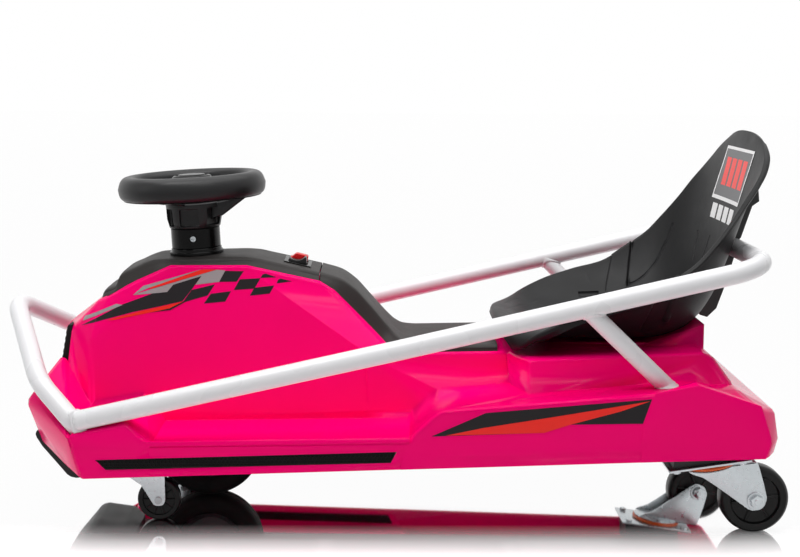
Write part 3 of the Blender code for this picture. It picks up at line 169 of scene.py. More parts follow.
def metal(name, code, roughness, bloom, brush=None):
    """Bare or plated metal, cloudy at 6 mm, and with fine parallel or turned lines where it was
    cut or drawn: brush is the line spacing in mm and the direction that the lines run along."""
    made, tree, shader, place = blank(name)
    shader.inputs["Metallic"].default_value = 1.0
    cloud = noise(tree, place, 160.0, 4.0, 0.6)
    coloured(tree, shader, code, ranged(tree, cloud, 1.0 - bloom, 1.0))
    tree.links.new(ranged(tree, cloud, roughness, roughness + 0.14), shader.inputs["Roughness"])
    height = cloud
    if brush:
        spacing, along = brush
        stretch = [1000.0 / spacing] * 3
        stretch["XYZ".index(along)] = 20.0
        lines = node(tree, "ShaderNodeMapping", {"Vector": place, "Scale": stretch})
        height = noise(tree, lines.outputs["Vector"], 1.0, 2.0)
    bumped(tree, shader, height, 0.12, 0.0002, 0.0005)
    return made


def tyre_rubber():
    """Moulded rubber tyre: dark and dull, greyed in patches by dust."""
    made, tree, shader, place = blank("Moulded rubber, tyre black")
    shade = node(tree, "ShaderNodeValToRGB", {"Fac": noise(tree, place, 60.0, 5.0, 0.65)})
    for stop, (position, code) in zip(shade.color_ramp.elements, ((0.35, "060607"), (0.80, "121212"))):
        stop.position = position
        stop.color = linear(code)
    tree.links.new(shade.outputs["Color"], shader.inputs["Base Color"])
    shader.inputs["Roughness"].default_value = 0.72
    shader.inputs["Specular IOR Level"].default_value = 0.2
    bumped(tree, shader, noise(tree, place, 900.0, 2.0), 0.35, 0.0004)
    return made


def vinyl(name, code):
    """Printed vinyl film under a clear laminate: flat colour, a clean gloss, and the slow ripple of
    a film pressed on by hand."""
    made, tree, shader, place = blank(name)
    coloured(tree, shader, code, ranged(tree, noise(tree, place, 300.0, 2.0), 0.97, 1.03, 0.0, 1.0))
    shader.inputs["Roughness"].default_value = 0.32
    shader.inputs["Specular IOR Level"].default_value = 0.25
    bumped(tree, shader, noise(tree, place, 45.0, 1.0), 0.05, 0.001)
    return made


FINISHES = {
    # injection-moulded polypropylene, self-coloured, from a polished tool: an even wet gloss
    # with a faint slow wave in it, and edges soft enough to catch a line of light
    "pink_body": lambda: plastic("Polished moulded polypropylene, pink", "FA0070", 0.12, 3.0, 0.02,
                                 soft_mm=2.0, spread=0.02, specular=0.05, coarse=0.25),
    # polypropylene from a spark-eroded tool: dull, with a fine leather grain. The real grain is
    # 0.5 mm, drawn at 1.1 mm so that it shows
    "dark_trim": lambda: plastic("Spark-grained moulded polypropylene, grey", "292625", 0.52, 1.1, 0.35,
                                 soft_mm=1.6, specular=0.2),
    # ABS mesh left as it came off a matt tool: near black, no highlight
    "black_mesh": lambda: plastic("Matt moulded ABS mesh, black", "0B0B0B", 0.58, 1.4, 0.25, soft_mm=0.3,
                                  specular=0.15),
    # black polypropylene of the nose pan, satin, scuffed by kerbs more than the rest
    "black_pan": lambda: plastic("Satin moulded polypropylene, black", "131314", 0.50, 1.6, 0.3, soft_mm=1.2,
                                 spread=0.12, specular=0.25),
    # gloss white powder on 25 mm tube: the peel is about 2 mm across, and softens every highlight
    "white_tube": lambda: powder("Gloss powder coat on steel, white", "E3E3E5", 0.28, 2.2, 0.12),
    # satin black powder on the frame, coarser and duller
    "black_frame": lambda: powder("Satin powder coat on steel, black", "1E1E20", 0.48, 1.6, 0.25,
                                  spread=0.08),
    # blow-moulded polyethylene with a pebbled tool: charcoal, waxy, its lit faces go pale grey
    "black_seat": lambda: plastic("Pebbled moulded polyethylene, charcoal", "111112", 0.42, 1.3, 0.35,
                                  soft_mm=1.4, spread=0.06, specular=0.17),
    # the bracket behind the seat, matt black powder that shows no highlight
    "black_bracket": lambda: powder("Matt powder coat on steel, black", "151516", 0.55, 1.4, 0.3,
                                    spread=0.08),
    # the steering wheel's rim: soft-touch polypropylene, satin from hands
    "steering_black": lambda: plastic("Satin moulded polypropylene, wheel black", "151516", 0.36, 1.0, 0.22,
                                      soft_mm=1.0, specular=0.25),
    # glossy ABS sleeve and bezel: deep black with clear reflections
    "column_black": lambda: plastic("Glossy moulded ABS, black", "060606", 0.22, 3.0, 0.04, soft_mm=0.5,
                                    specular=0.14),
    "drive_tyre": tyre_rubber,
    # glass-filled nylon hub, dull grey
    "drive_hub": lambda: plastic("Glass-filled nylon, dark grey", "3A3A3D", 0.52, 1.2, 0.3, soft_mm=0.6),
    # rollers and caster wheels in moulded nylon: black, waxy, dusty at the tread
    "roller_black": lambda: plastic("Moulded nylon, wheel black", "0E0E0E", 0.34, 1.5, 0.12, soft_mm=0.8,
                                    spread=0.10, specular=0.2),
    # pressed steel, bright zinc plated: bluish silver, cloudy where the bath touched the blank
    "zinc_steel": lambda: metal("Bright zinc plate on pressed steel", "C3C9CC", 0.24, 0.10),
    # turned steel pins and shafts, lines 0.3 mm apart round them, drawn at 0.6 mm so that they show
    "plain_steel": lambda: metal("Turned steel", "A4A7AA", 0.26, 0.12, brush=(0.6, "X")),
    # the caster's ball race seal, orange and greasy
    "orange_race": lambda: plastic("Moulded race seal, orange", "DE5A12", 0.30, 3.0, 0.05, soft_mm=0.4),
    # turned acetal bushes, milky and waxy
    "bush_plastic": lambda: plastic("Machined acetal, natural", "C9C6BD", 0.38, 2.0, 0.05, soft_mm=0.3),
    # drawn and passivated can of the motor: grey, with soft rings
    "motor_can": lambda: metal("Drawn passivated steel", "7A7E84", 0.32, 0.18, brush=(0.8, "X")),
    # heat-sealed battery case, satin slate
    "battery_case": lambda: plastic("Satin battery case, slate", "3B3F45", 0.48, 1.4, 0.25, soft_mm=0.8),
    # extruded and anodised case of the controller, lines along its length
    "controller_case": lambda: metal("Extruded anodised aluminium", "8E9195", 0.36, 0.08, brush=(0.7, "Y")),
    # the pedal's black nylon, dulled by shoes
    "pedal_black": lambda: plastic("Shoe-dulled nylon, black", "1C1C1C", 0.55, 1.2, 0.3, soft_mm=0.6,
                                   spread=0.12),
    # polished nylon rocker, bright signal red
    "rocker_red": lambda: plastic("Polished nylon rocker, red", "CE0C14", 0.26, 4.0, 0.03, soft_mm=0.5,
                                  specular=0.2),
    # the same rocker in black
    "rocker_black": lambda: plastic("Polished nylon rocker, black", "101010", 0.26, 4.0, 0.03, soft_mm=0.5,
                                    specular=0.2),
}
MADE = {}


def finish_of(slot):
    """The one material of a record's slot."""
    if slot not in MADE:
        MADE[slot] = FINISHES[slot]()
    return MADE[slot]


# Modelling


def mm(value):
    """Millimetres in metres: one number, or lists of them."""
    if isinstance(value, (list, tuple)):
        return [mm(item) for item in value]
    return round(value / 1000, 7)


def lifted(points, by):
    """A profile of (radius, height) points moved up."""
    return [(radius, height + by) for radius, height in points]


def mirrored(points):
    """The lower half of a profile, and the upper half alike."""
    return points + [(radius, -height) for radius, height in reversed(points)]


def deselect():
    if bpy.context.mode != "OBJECT":
        bpy.ops.object.mode_set(mode="OBJECT")
    bpy.ops.object.select_all(action="DESELECT")


def activate(obj, mode="OBJECT"):
    """Make an object the only selected one, and go into a mode on it."""
    deselect()
    obj.hide_set(False)
    obj.select_set(True)
    bpy.context.view_layer.objects.active = obj
    if mode != "OBJECT":
        bpy.ops.object.mode_set(mode=mode)
    return obj


def pick(obj, test):
    """In edit mode, select the corners whose place passes a test."""
    bpy.ops.mesh.select_mode(type="VERT")
    bpy.ops.mesh.select_all(action="DESELECT")
    bm = bmesh.from_edit_mesh(obj.data)
    for vert in bm.verts:
        if test(vert.co):
            vert.select_set(True)
    bm.select_flush_mode()
    bmesh.update_edit_mesh(obj.data)


def modify(obj, kind, **settings):
    """Add a modifier and apply it."""
    activate(obj)
    made = obj.modifiers.new(kind, kind)
    for key, value in settings.items():
        setattr(made, key, value)
    bpy.ops.object.modifier_apply(modifier=made.name)
    return obj


def tidy_mesh(obj, merge=0.00001):
    """Merge doubled corners and turn the faces outwards."""
    activate(obj, "EDIT")
    bpy.ops.mesh.select_all(action="SELECT")
    bpy.ops.mesh.remove_doubles(threshold=merge)
    bpy.ops.mesh.normals_make_consistent(inside=False)
    bpy.ops.object.mode_set(mode="OBJECT")
    return obj


def joined(objects):
    """Several objects as one."""
    deselect()
    for obj in objects:
        obj.select_set(True)
    bpy.context.view_layer.objects.active = objects[0]
    bpy.ops.object.join()
    return objects[0]


def bevelled(obj, width, segments=2, angle=60):
    """Round every edge that turns by more than an angle in degrees."""
    return modify(obj, "BEVEL", width=width, segments=segments, limit_method="ANGLE",
                  angle_limit=radians(angle))


def cut(obj, tool, operation="DIFFERENCE"):
    """Cut a piece with a tool, which is used up."""
    modify(obj, "BOOLEAN", operation=operation, solver="EXACT", object=tool)
    bpy.data.objects.remove(tool)
    return obj


def twin(obj):
    """A copy with its own mesh."""
    copy = obj.copy()
    copy.data = obj.data.copy()
    bpy.context.scene.collection.objects.link(copy)
    return copy


def block(size, place=(0, 0, 0)):
    """A box."""
    deselect()
    bpy.ops.mesh.primitive_cube_add(size=1, location=place, scale=size)
    return bpy.context.object


def rod(radius, depth, place=(0, 0, 0), sides=48, rotation=(0, 0, 0)):
    """A round or many-sided bar."""
    deselect()
    bpy.ops.mesh.primitive_cylinder_add(vertices=sides, radius=radius, depth=depth, location=place,
                                        rotation=rotation)
    return bpy.context.object


def finished(obj, name, body, slot, stands_for=(), smooth=30, matrix=None, look=None):
    """Put a made piece at its place with its finish, and let it ride on its body."""
    obj.name = name
    obj.data.name = name
    if matrix is not None:
        obj.matrix_world = matrix @ obj.matrix_world
    activate(obj)
    bpy.ops.object.transform_apply(location=True, rotation=True, scale=True)
    tidy_mesh(obj)
    if smooth:
        bpy.ops.object.shade_smooth_by_angle(angle=radians(smooth))
    obj.data.materials.clear()
    obj.data.materials.append(look or finish_of(slot))
    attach(obj, body)
    if stands_for:
        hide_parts(*stands_for)
    return obj


def outline_loop(points):
    """A closed outline: a circle with as many corners, each pulled to its place."""
    deselect()
    bpy.ops.mesh.primitive_circle_add(vertices=len(points), radius=0.01)
    obj = activate(bpy.context.object, "EDIT")
    bm = bmesh.from_edit_mesh(obj.data)
    bm.verts.ensure_lookup_table()
    for vert, point in zip(bm.verts, points):
        vert.co = point
    bmesh.update_edit_mesh(obj.data)
    bpy.ops.mesh.select_all(action="SELECT")
    return obj


def turned(points, steps, matrix=None):
    """A closed profile of (radius, height) points spun right round Z."""
    obj = outline_loop([(radius, 0.0, height) for radius, height in points])
    bpy.ops.mesh.spin(steps=steps, angle=2 * pi, use_auto_merge=True, center=(0, 0, 0), axis=(0, 0, 1))
    bpy.ops.object.mode_set(mode="OBJECT")
    tidy_mesh(obj, 0.00002)
    if matrix is not None:
        obj.matrix_world = matrix
    return obj


def slab(points, thickness):
    """A flat outline in X and Z drawn out along Y, centred on Y = 0."""
    obj = outline_loop([(x, -thickness / 2, z) for x, z in points])
    bpy.ops.mesh.edge_face_add()
    bpy.ops.mesh.extrude_region_move(TRANSFORM_OT_translate={"value": (0, thickness, 0)})
    bpy.ops.object.mode_set(mode="OBJECT")
    return tidy_mesh(obj)


def eased(places, values, at):
    """Values between given places, on a curve that never swings past them."""
    places, values, at = np.array(places), np.array(values), np.array(at)
    step = np.diff(places)
    slope = np.diff(values) / step
    lean = np.concatenate([slope[:1], np.zeros(len(slope) - 1), slope[-1:]])
    before, after = slope[:-1], slope[1:]
    same = before * after > 0
    lean[1:-1][same] = 2 * before[same] * after[same] / (before + after)[same]
    low = np.clip(np.searchsorted(places, at, side="right") - 1, 0, len(places) - 2)
    part = (at - places[low]) / step[low]
    return (values[low] * (1 + 2 * part) * (1 - part) ** 2 + values[low + 1] * part ** 2 * (3 - 2 * part)
            + step[low] * (lean[low] * part * (1 - part) ** 2 - lean[low + 1] * part ** 2 * (1 - part)))


def draped(face, thickness, up):
    """A grid of points as a sheet with a wall below it; up tells near which point the sheet faces up."""
    lines, columns = face.shape[:2]
    deselect()
    bpy.ops.mesh.primitive_grid_add(x_subdivisions=columns - 1, y_subdivisions=lines - 1, size=1)
    sheet = bpy.context.object
    flat = np.empty(len(sheet.data.vertices) * 3)
    sheet.data.vertices.foreach_get("co", flat)
    flat = flat.reshape(-1, 3)
    column = np.rint((flat[:, 0] + 0.5) * (columns - 1)).astype(int)
    line = np.rint((flat[:, 1] + 0.5) * (lines - 1)).astype(int)
    sheet.data.vertices.foreach_set("co", face[line, column].ravel())
    sheet.data.update()
    activate(sheet, "EDIT")
    bpy.ops.mesh.select_all(action="SELECT")
    bpy.ops.mesh.normals_make_consistent(inside=False)
    bpy.ops.object.mode_set(mode="OBJECT")
    middle = min(sheet.data.polygons, key=lambda item: (item.center - Vector(up)).length)
    return modify(sheet, "SOLIDIFY", thickness=thickness, offset=-1 if middle.normal.z > 0 else 1)


def softened(solid, name, body, slot, width):
    """A CAD solid with its edges rounded as the tool or the press leaves them."""
    obj = twin(NODES[solid])
    obj.parent = None
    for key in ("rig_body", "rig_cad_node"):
        if key in obj:
            del obj[key]
    tidy_mesh(obj, 0.000005)
    activate(obj, "EDIT")
    bpy.ops.mesh.select_all(action="SELECT")
    bpy.ops.mesh.dissolve_limited(angle_limit=radians(0.6))
    bpy.ops.object.mode_set(mode="OBJECT")
    modify(obj, "BEVEL", width=width, segments=2, limit_method="ANGLE", angle_limit=radians(28),
           use_clamp_overlap=True, miter_outer="MITER_ARC")
    finished(obj, name, body, slot, [solid], smooth=40)
    return modify(obj, "WEIGHTED_NORMAL", keep_sharp=True, weight=80)


def run_of_tube(points, radii, radius, sides, turn):
    """A round tube drawn along straights and bends, closed at both ends."""
    path = [Vector(point) for point in points]
    heading = (path[1] - path[0]).normalized()
    deselect()
    bpy.ops.mesh.primitive_circle_add(vertices=sides, radius=radius, fill_type="NGON", location=path[0],
                                      rotation=heading.to_track_quat("Z", "Y").to_euler())
    obj = activate(bpy.context.object, "EDIT")
    bpy.ops.mesh.select_mode(type="FACE")
    bpy.ops.mesh.select_all(action="SELECT")
    at = path[0]
    for before, corner, after, bend in zip(path, path[1:], path[2:], radii):
        back = (before - corner).normalized()
        onward = (after - corner).normalized()
        half = back.angle(onward) / 2
        centre = corner + (back + onward).normalized() * bend / sin(half)
        start = corner + back * bend / tan(half)
        end = corner + onward * bend / tan(half)
        bpy.ops.mesh.extrude_region_move(TRANSFORM_OT_translate={"value": start - at})
        axis = (start - centre).cross(end - centre).normalized()
        angle = (start - centre).angle(end - centre)
        bpy.ops.mesh.spin(steps=max(3, round(angle / turn)), angle=-angle, center=centre, axis=axis)
        at = end
    bpy.ops.mesh.extrude_region_move(TRANSFORM_OT_translate={"value": path[-1] - at})
    bpy.ops.object.mode_set(mode="OBJECT")
    return tidy_mesh(obj, 0.000005)


def weld(main, branch):
    """The bead where a branch tube meets a main tube: where both, grown by the bead, meet."""
    shapes = []
    for start, end, radius in (main, branch):
        start, end = Vector(start), Vector(end)
        along = end - start
        turn = along.to_track_quat("Z", "Y").to_euler()
        shapes.append(rod(radius, along.length, (start + end) / 2, 40, turn))
    bead = cut(shapes[0], shapes[1], "INTERSECT")
    modify(bead, "REMESH", mode="VOXEL", voxel_size=0.0006)
    return modify(bead, "SMOOTH", factor=0.6, iterations=4)


# Sizes and colours


class KartTubes(bpy.types.PropertyGroup):
    """The bumper hoop, the guard rail and its struts."""
    radius: FloatProperty(name="Tube radius", description="Outer radius of the hoop and the rail",
                          default=0.0125, unit="LENGTH")
    strut_radius: FloatProperty(name="Strut radius", description="Outer radius of the struts",
                                default=0.011, unit="LENGTH")
    sides: IntProperty(name="Sides", description="Faces round a tube", default=32, min=8)
    bead: FloatProperty(name="Weld bead", description="Height of the bead round a joint",
                        default=0.0016, unit="LENGTH")


class KartSeat(bpy.types.PropertyGroup):
    """The bucket seat."""
    wall: FloatProperty(name="Wall", description="Thickness of the seat's shell", default=0.0045,
                        unit="LENGTH")
    bolster: FloatProperty(name="Bolster step", description="How far the side bolsters stand in",
                           default=0.003, unit="LENGTH")


class KartSteering(bpy.types.PropertyGroup):
    """The steering wheel and its column, in the frame of the steering axis."""
    ring: FloatProperty(name="Ring radius", description="From the axis to the middle of the rim",
                        default=0.0858, unit="LENGTH")
    half_width: FloatProperty(name="Rim half width", description="Half the rim's width", default=0.013,
                              unit="LENGTH")
    half_height: FloatProperty(name="Rim half height", description="Half the rim's height", default=0.0162,
                               unit="LENGTH")
    height: FloatProperty(name="Rim height", description="Rim above the axle along the axis",
                          default=0.3568, unit="LENGTH")
    hub: FloatProperty(name="Hub radius", description="Radius of the hub's top", default=0.0375,
                       unit="LENGTH")
    rake: FloatProperty(name="Rake", description="How far the axis leans back", default=radians(3.2),
                        subtype="ANGLE")


class KartMesh(bpy.types.PropertyGroup):
    """The honeycomb of the grilles."""
    pitch: FloatProperty(name="Cell pitch", description="From cell to cell", default=0.0050, unit="LENGTH")
    web: FloatProperty(name="Web", description="Width of the webs between the cells", default=0.0012,
                       unit="LENGTH")


class KartStickers(bpy.types.PropertyGroup):
    """The film on the hood, the skirt and the seat."""
    film: FloatProperty(name="Film", description="How far the lowest film stands off the body",
                        default=0.0003, unit="LENGTH")


class KartStage(bpy.types.PropertyGroup):
    """The studio."""
    key: FloatProperty(name="Key light", description="Power of the softbox above", default=27.0)
    fill: FloatProperty(name="Fill light", description="Power of the softbox by the camera", default=28.0)
    edge: FloatProperty(name="Edge light", description="Power of the narrow strip that draws lines on edges",
                        default=6.0)
    lens: FloatProperty(name="Lens", description="Focal length in mm on a 36 mm sensor", default=63.97)


# Places along the kart. Points within mm( ) are in millimetres

SIDES = ((-1, "left"), (1, "right"))
HOOP = mm([
    (-368, -178, 113.5), (-385, -209, 148), (-439.5, -168, 194), (-507.7, 0, 270.2), (-439.5, 168, 194),
    (-385, 209, 148), (-368, 178, 113.5),
])
HOOP_BENDS = [0.030, 0.085, 0.055, 0.085, 0.030]
RAIL_HALF = 0.223


def rail_z(x):
    """Height of the guard rail along the kart."""
    return 0.2443 + 0.235 * x


RAIL_REAR = 0.464
RAIL_FRONT = (-0.386, 0.2110, 0.1540)
RIGHT_RAIL = [RAIL_FRONT, (0.0, RAIL_HALF, rail_z(0.0)), (RAIL_REAR, RAIL_HALF, rail_z(RAIL_REAR))]
RAIL = [(x, -y, z) for x, y, z in RIGHT_RAIL] + RIGHT_RAIL[::-1]
RAIL_BENDS = [0.4, 0.050, 0.050, 0.4]
# Where the hoop passes the rail's cut end on the right, and the way it runs there
HOOP_JOINT = Vector((-0.387, 0.202, 0.1472))
HOOP_WAY = Vector((-0.623, 0.075, 0.779))
STRUT_X = 0.2404
STRUT_FOOT = Vector((0.349, 0.190, 0.1959))
STRUT_PAD_SLOPE = atan(0.0872)
AXLE = Vector((-0.245, 0.0, 0.0725))
ALONG_Y = Matrix.Rotation(radians(-90), 4, "X")

# The caster: its axis leans back, and its wheel hangs behind and below the swivel
CASTER_TILT = radians(8.5)
WHEEL_RADIUS = 0.044
WHEEL_BACK = 0.0519
WHEEL_DOWN = 0.0492
CASTER_AT = (0.413, 0.160, WHEEL_RADIUS - WHEEL_BACK * sin(CASTER_TILT) + WHEEL_DOWN * cos(CASTER_TILT))
CASTER_LIFT = 0.008
ROLLER_AT = (-0.298, 0.120, 0.028)


def tipped(place, angle):
    """The frame of an axis that leans back by an angle."""
    return Matrix.Translation(place) @ Matrix.Rotation(-angle, 4, "Y")


def on_side(place, side):
    """A place given for the right, on a side."""
    return Vector(place) * Vector((1, side, 1))


# The seat, front lip to top: centre x and z, rim x, half width, rim z, how squarely the sides turn up
SEAT_SECTIONS = [
    (0.1430, 0.2500, 0.1600, 0.116, 0.2290, 3.0),
    (0.1490, 0.2590, 0.1700, 0.143, 0.2380, 3.0),
    (0.1720, 0.2560, 0.1900, 0.160, 0.2570, 3.5),
    (0.2100, 0.2440, 0.2280, 0.163, 0.2765, 4.5),
    (0.2600, 0.2397, 0.2740, 0.166, 0.2910, 5.0),
    (0.3120, 0.2397, 0.3200, 0.168, 0.3030, 5.0),
    (0.3560, 0.2410, 0.3520, 0.169, 0.3230, 4.5),
    (0.3930, 0.2540, 0.3830, 0.169, 0.3450, 4.0),
    (0.4200, 0.2850, 0.4070, 0.167, 0.3716, 3.5),
    (0.4400, 0.3330, 0.4290, 0.160, 0.4005, 3.0),
    (0.4540, 0.3850, 0.4460, 0.154, 0.4260, 2.8),
    (0.4650, 0.4280, 0.4600, 0.147, 0.4460, 2.6),
    (0.4740, 0.4620, 0.4710, 0.136, 0.4640, 2.4),
    (0.4800, 0.4880, 0.4790, 0.116, 0.4815, 2.2),
    (0.4840, 0.5070, 0.4850, 0.078, 0.4985, 2.2),
]
# The lines moulded in each half of the seat, raised ones with a minus: points, half width and depth
SEAT_LINES = mm([
    ([(364, 168, 331), (361.7, 160, 316.6), (358.6, 150.6, 299), (354.5, 137, 274)], 2.2, 2.8),
    ([(144, 18, 251.5), (158, 40, 257.6), (181, 104, 254.2), (203, 135, 254.2)], 1.2, 0.8),
    ([(143, 8, 250.5), (163, 10, 257.2), (191, 87, 251.1), (225, 131, 252.7)], 1.2, 0.8),
    ([(292, 166, 289), (305, 147, 272.5)], 1, -0.8), ([(371, 165, 331), (387, 147, 312)], 1, -0.8),
])
# The deep grooves cut in each half, and their radii
SEAT_GROOVES = mm([
    ([(354.5, 137, 274), (365, 136, 279), (376, 137, 287), (393, 140, 306), (406, 144, 333),
      (420, 149, 364)], 2.4),
    ([(443, 86, 361), (438, 77, 341), (432, 66, 321)], 2), ([(447.5, 30, 361), (437, 30, 325)], 2),
    ([(282, 135, 261), (312, 135, 261)], 6.4),
])
# The step of the side bolsters
SEAT_STEP = mm([(333.5, 168, 308), (329.5, 156.5, 293), (325.5, 146, 279), (321.8, 137.7, 266)])


def distance_to_line(points, line):
    """How far each point of an array lies from a line of joined straights."""
    best = np.full(points.shape[:2], 1.0)
    for one, two in zip(np.array(line), np.array(line)[1:]):
        along = two - one
        part = np.clip(((points - one) @ along) / (along @ along), 0, 1)
        best = np.minimum(best, np.linalg.norm(points - one - part[..., None] * along, axis=2))
    return best


def line_x_at(points, line):
    """The x of a line where it crosses each point's height."""
    low_to_high = np.array(line)[np.argsort([place[2] for place in line])]
    return np.interp(points[..., 2], low_to_high[:, 2], low_to_high[:, 0])


# The hump's back from nose to console, and the cover on it: x, near edge z and middle z
HUMP = mm([
    (-398.5, 269.4), (-381.6, 281.9), (-332.5, 307.4), (-287.6, 327.5), (-187, 328), (-90.5, 307.5),
    (-70, 295), (79, 144.5),
])
COVER = mm([
    (-381.2, 283.8, 284.2), (-379.5, 288, 289.2), (-376, 292.2, 293.5), (-370, 295, 296.5),
    (-363, 297.3, 299), (-360.5, 302, 303.8), (-358, 308.5, 310.3), (-355, 313, 314.8),
    (-350.4, 316.5, 318.3), (-337.9, 322.2, 323.8), (-323.5, 329, 330.2), (-309.2, 333.4, 333.6),
    (-297.5, 334.1, 334.1), (-270, 334.6, 335.6), (-240, 335.2, 337.3), (-215, 336.1, 338.3),
    (-195.5, 336.8, 338.3), (-178.9, 336.2, 337), (-160, 332.5, 332.8), (-91.2, 317.2, 317.4),
])
# The cover behind the seam: foot x, z, half width, and top x, z, half width
TAIL_COVER = mm([
    (-89.7, 307, 59, -89.7, 317.1, 50), (-70, 295, 59, -64, 309.5, 50),
    (-53.5, 278.3, 59, -44.6, 296.6, 50), (-35, 259.7, 59, -25.8, 276.5, 50.5),
    (-10, 234.4, 63, 1.5, 245.5, 56.5), (0.8, 223.5, 72, 12.5, 234.5, 66), (8.8, 216.6, 80, 24, 227.8, 77),
    (30, 217, 87, 42, 225.2, 84), (80, 218, 87, 85, 226, 84), (145, 219.2, 87, 145, 227.2, 84),
])
COVER_WALL = 0.0026
# From foot to shoulder: share of the way up, and how far the round stands out and down
SHOULDER = [(0.0, 0.0, 0.0), (0.15, 0.0, 0.0), (0.5, 0.0004, 0.0), (1.0, 0.0022, -0.0044),
            (1.0, 0.0015, -0.0024), (1.0, 0.0002, -0.0010), (1.0, -0.0018, -0.0003)]
SWITCH_SLOPE = radians(12.57)
ROCKERS = [
    (-1, "direction_rocker", "direction_switch", "rocker_black",
     mm([(-12, -8), (11.8, -8), (11.8, 3), (10, 10.6), (8.2, 11.2), (5, 7.8), (1.5, 5.6), (-3, 4.6),
         (-10, 4.8), (-12, 6.2)])),
    (1, "power_rocker", "power_switch", "rocker_red",
     mm([(-12, -8), (11.8, -8), (11.8, 9.2), (10, 10.3), (-4, 10.6), (-6, 9.8), (-9.8, 5.2), (-12, 4.8)])),
]

# Pieces whose CAD solid only needs its edges rounded: node, name, body, slot, radius
PRESSINGS = [
    ("body_shell", "body_moulded", "chassis", "pink_body", 0.0016),
    ("switch_bezel", "switch_bezel_moulded", "chassis", "column_black", 0.0009),
    ("column_screw", "collar_screw", "steering", "zinc_steel", 0.0002),
    ("seat_back_bracket", "seat_bracket_pressed", "chassis", "black_bracket", 0.0015),
    ("accelerator_pedal", "pedal_moulded", "accelerator", "pedal_black", 0.0005),
    ("pedal_bracket", "pedal_bracket_pressed", "chassis", "black_frame", 0.0004),
    ("drive_fork", "drive_fork_pressed", "steering", "black_frame", 0.0008),
    ("front_roller_pin_left", "roller_rivet_left", "chassis", "plain_steel", 0.0003),
    ("front_roller_pin_right", "roller_rivet_right", "chassis", "plain_steel", 0.0003),
]

# Outlines of pressed sheet: the front roller's cheek round its rivet, the caster's leg below its swivel
ROLLER_CHEEK = mm([
    (-40, 74), (-38.5, 32), (-22, 20.4), (-6.4, -5.8), (-3, -7.4), (0.4, -7.7), (4, -7.2), (6.6, -5.5),
    (8.5, -2), (9.1, 1.4), (8, 75),
])
CASTER_LEG = mm([
    (-28.5, 2), (-27.5, -1.2), (-23.5, -3.6), (-12, -9.2), (1, -20.5), (19.5, -38.2), (40.5, -58.8),
    (45, -61.2), (50, -61.8), (56.2, -60.4), (61.2, -57), (65, -51), (66, -46.5), (64.2, -28.5),
    (60.9, -7.6), (59, 1), (56, 2.5),
])
# Outlines of the nose pan and the grille's panel, seen from the side
PAN = mm([
    (-455, 118), (-459.2, 114.5), (-460.2, 110.5), (-458.5, 106), (-451.5, 94.5), (-420, 56.2), (-415, 53),
    (-408, 51.5), (-370, 57), (-356, 70), (-356, 100), (-440, 119),
])
GRILLE = mm([(-422.5, 244), (-428.5, 243.7), (-438.5, 189), (-437.5, 176.5), (-431.7, 169), (-424, 169)])
SIDE_STRIP = mm([(-360.5, 107), (-347.8, 95.5), (3.5, 105.3), (10.5, 118.6)])

# Turned profiles on the steering axis: radius, and height above the hub, the collar's foot or the flange's
COLUMN_GAP = 0.0003
HUB_BELOW_RIM = 0.0223
HUB_HEIGHT = 0.034
STEERING_CAP = mm([
    (0, 0.3), (30.5, 0.3), (31.4, 12), (30.6, 24), (28.5, 31.2), (25, 35.2), (22.5, 36), (21.8, 34.6),
    (18.6, 34.6), (17.6, 37), (0, 38.6),
])
COLLAR = mm([(8.3, 0), (32.2, 0), (33, 0.8), (33, 26.2), (32.2, 27), (8.3, 27)])
FLANGE = mm([
    (9.2, 0), (36, 0), (36, 3.4), (35.2, 4.2), (34.2, 4.4), (34, 5), (34, 7.7), (33.2, 8.5), (9.2, 8.5),
])
# Lower halves of the wheels' and the bolt's profiles, and the whole of the race's and the fork crown's
TYRE = mm([
    (46, -18), (49, -19.6), (56, -21.8), (60, -21.4), (61.4, -22), (65.5, -21.8), (69, -20), (71.4, -16.5),
    (72.4, -12), (72.5, -7), (71.7, -6.6), (71.7, -5.4), (72.5, -5),
])
ROLLER = mm([
    (3.4, -8.5), (7, -8.5), (7.5, -8), (8, -5), (20.5, -5), (21.2, -7), (22.6, -7.5), (26.2, -7.2),
    (27.6, -6), (28, -4),
])
CASTER_WHEEL = mm([
    (4.4, -16), (9.5, -16), (10.2, -15), (11.2, -10.8), (16, -9.5), (29, -9.2), (30.6, -10), (32.2, -14.6),
    (33.2, -15), (39.8, -14.9), (41.8, -13.2), (43.4, -10.5), (44, -7.5),
])
CASTER_BOLT = mm([
    (0, -27.5), (3.4, -27.5), (4.1, -26.8), (4.1, -20.6), (11.6, -20.6), (12, -20.1), (12, -19.1),
    (4, -19.1),
])
CASTER_RACE = mm([
    (20, 2.7), (33, 2.7), (34.6, 3.4), (35.4, 4.6), (35.4, 5.8), (34.6, 7), (33, 7.7), (20, 7.7),
])
FORK_CROWN = mm([(0, -0.6), (29, -0.6), (32.2, 0.4), (33.4, 1.8), (30, 2.4), (0, 2.4)])

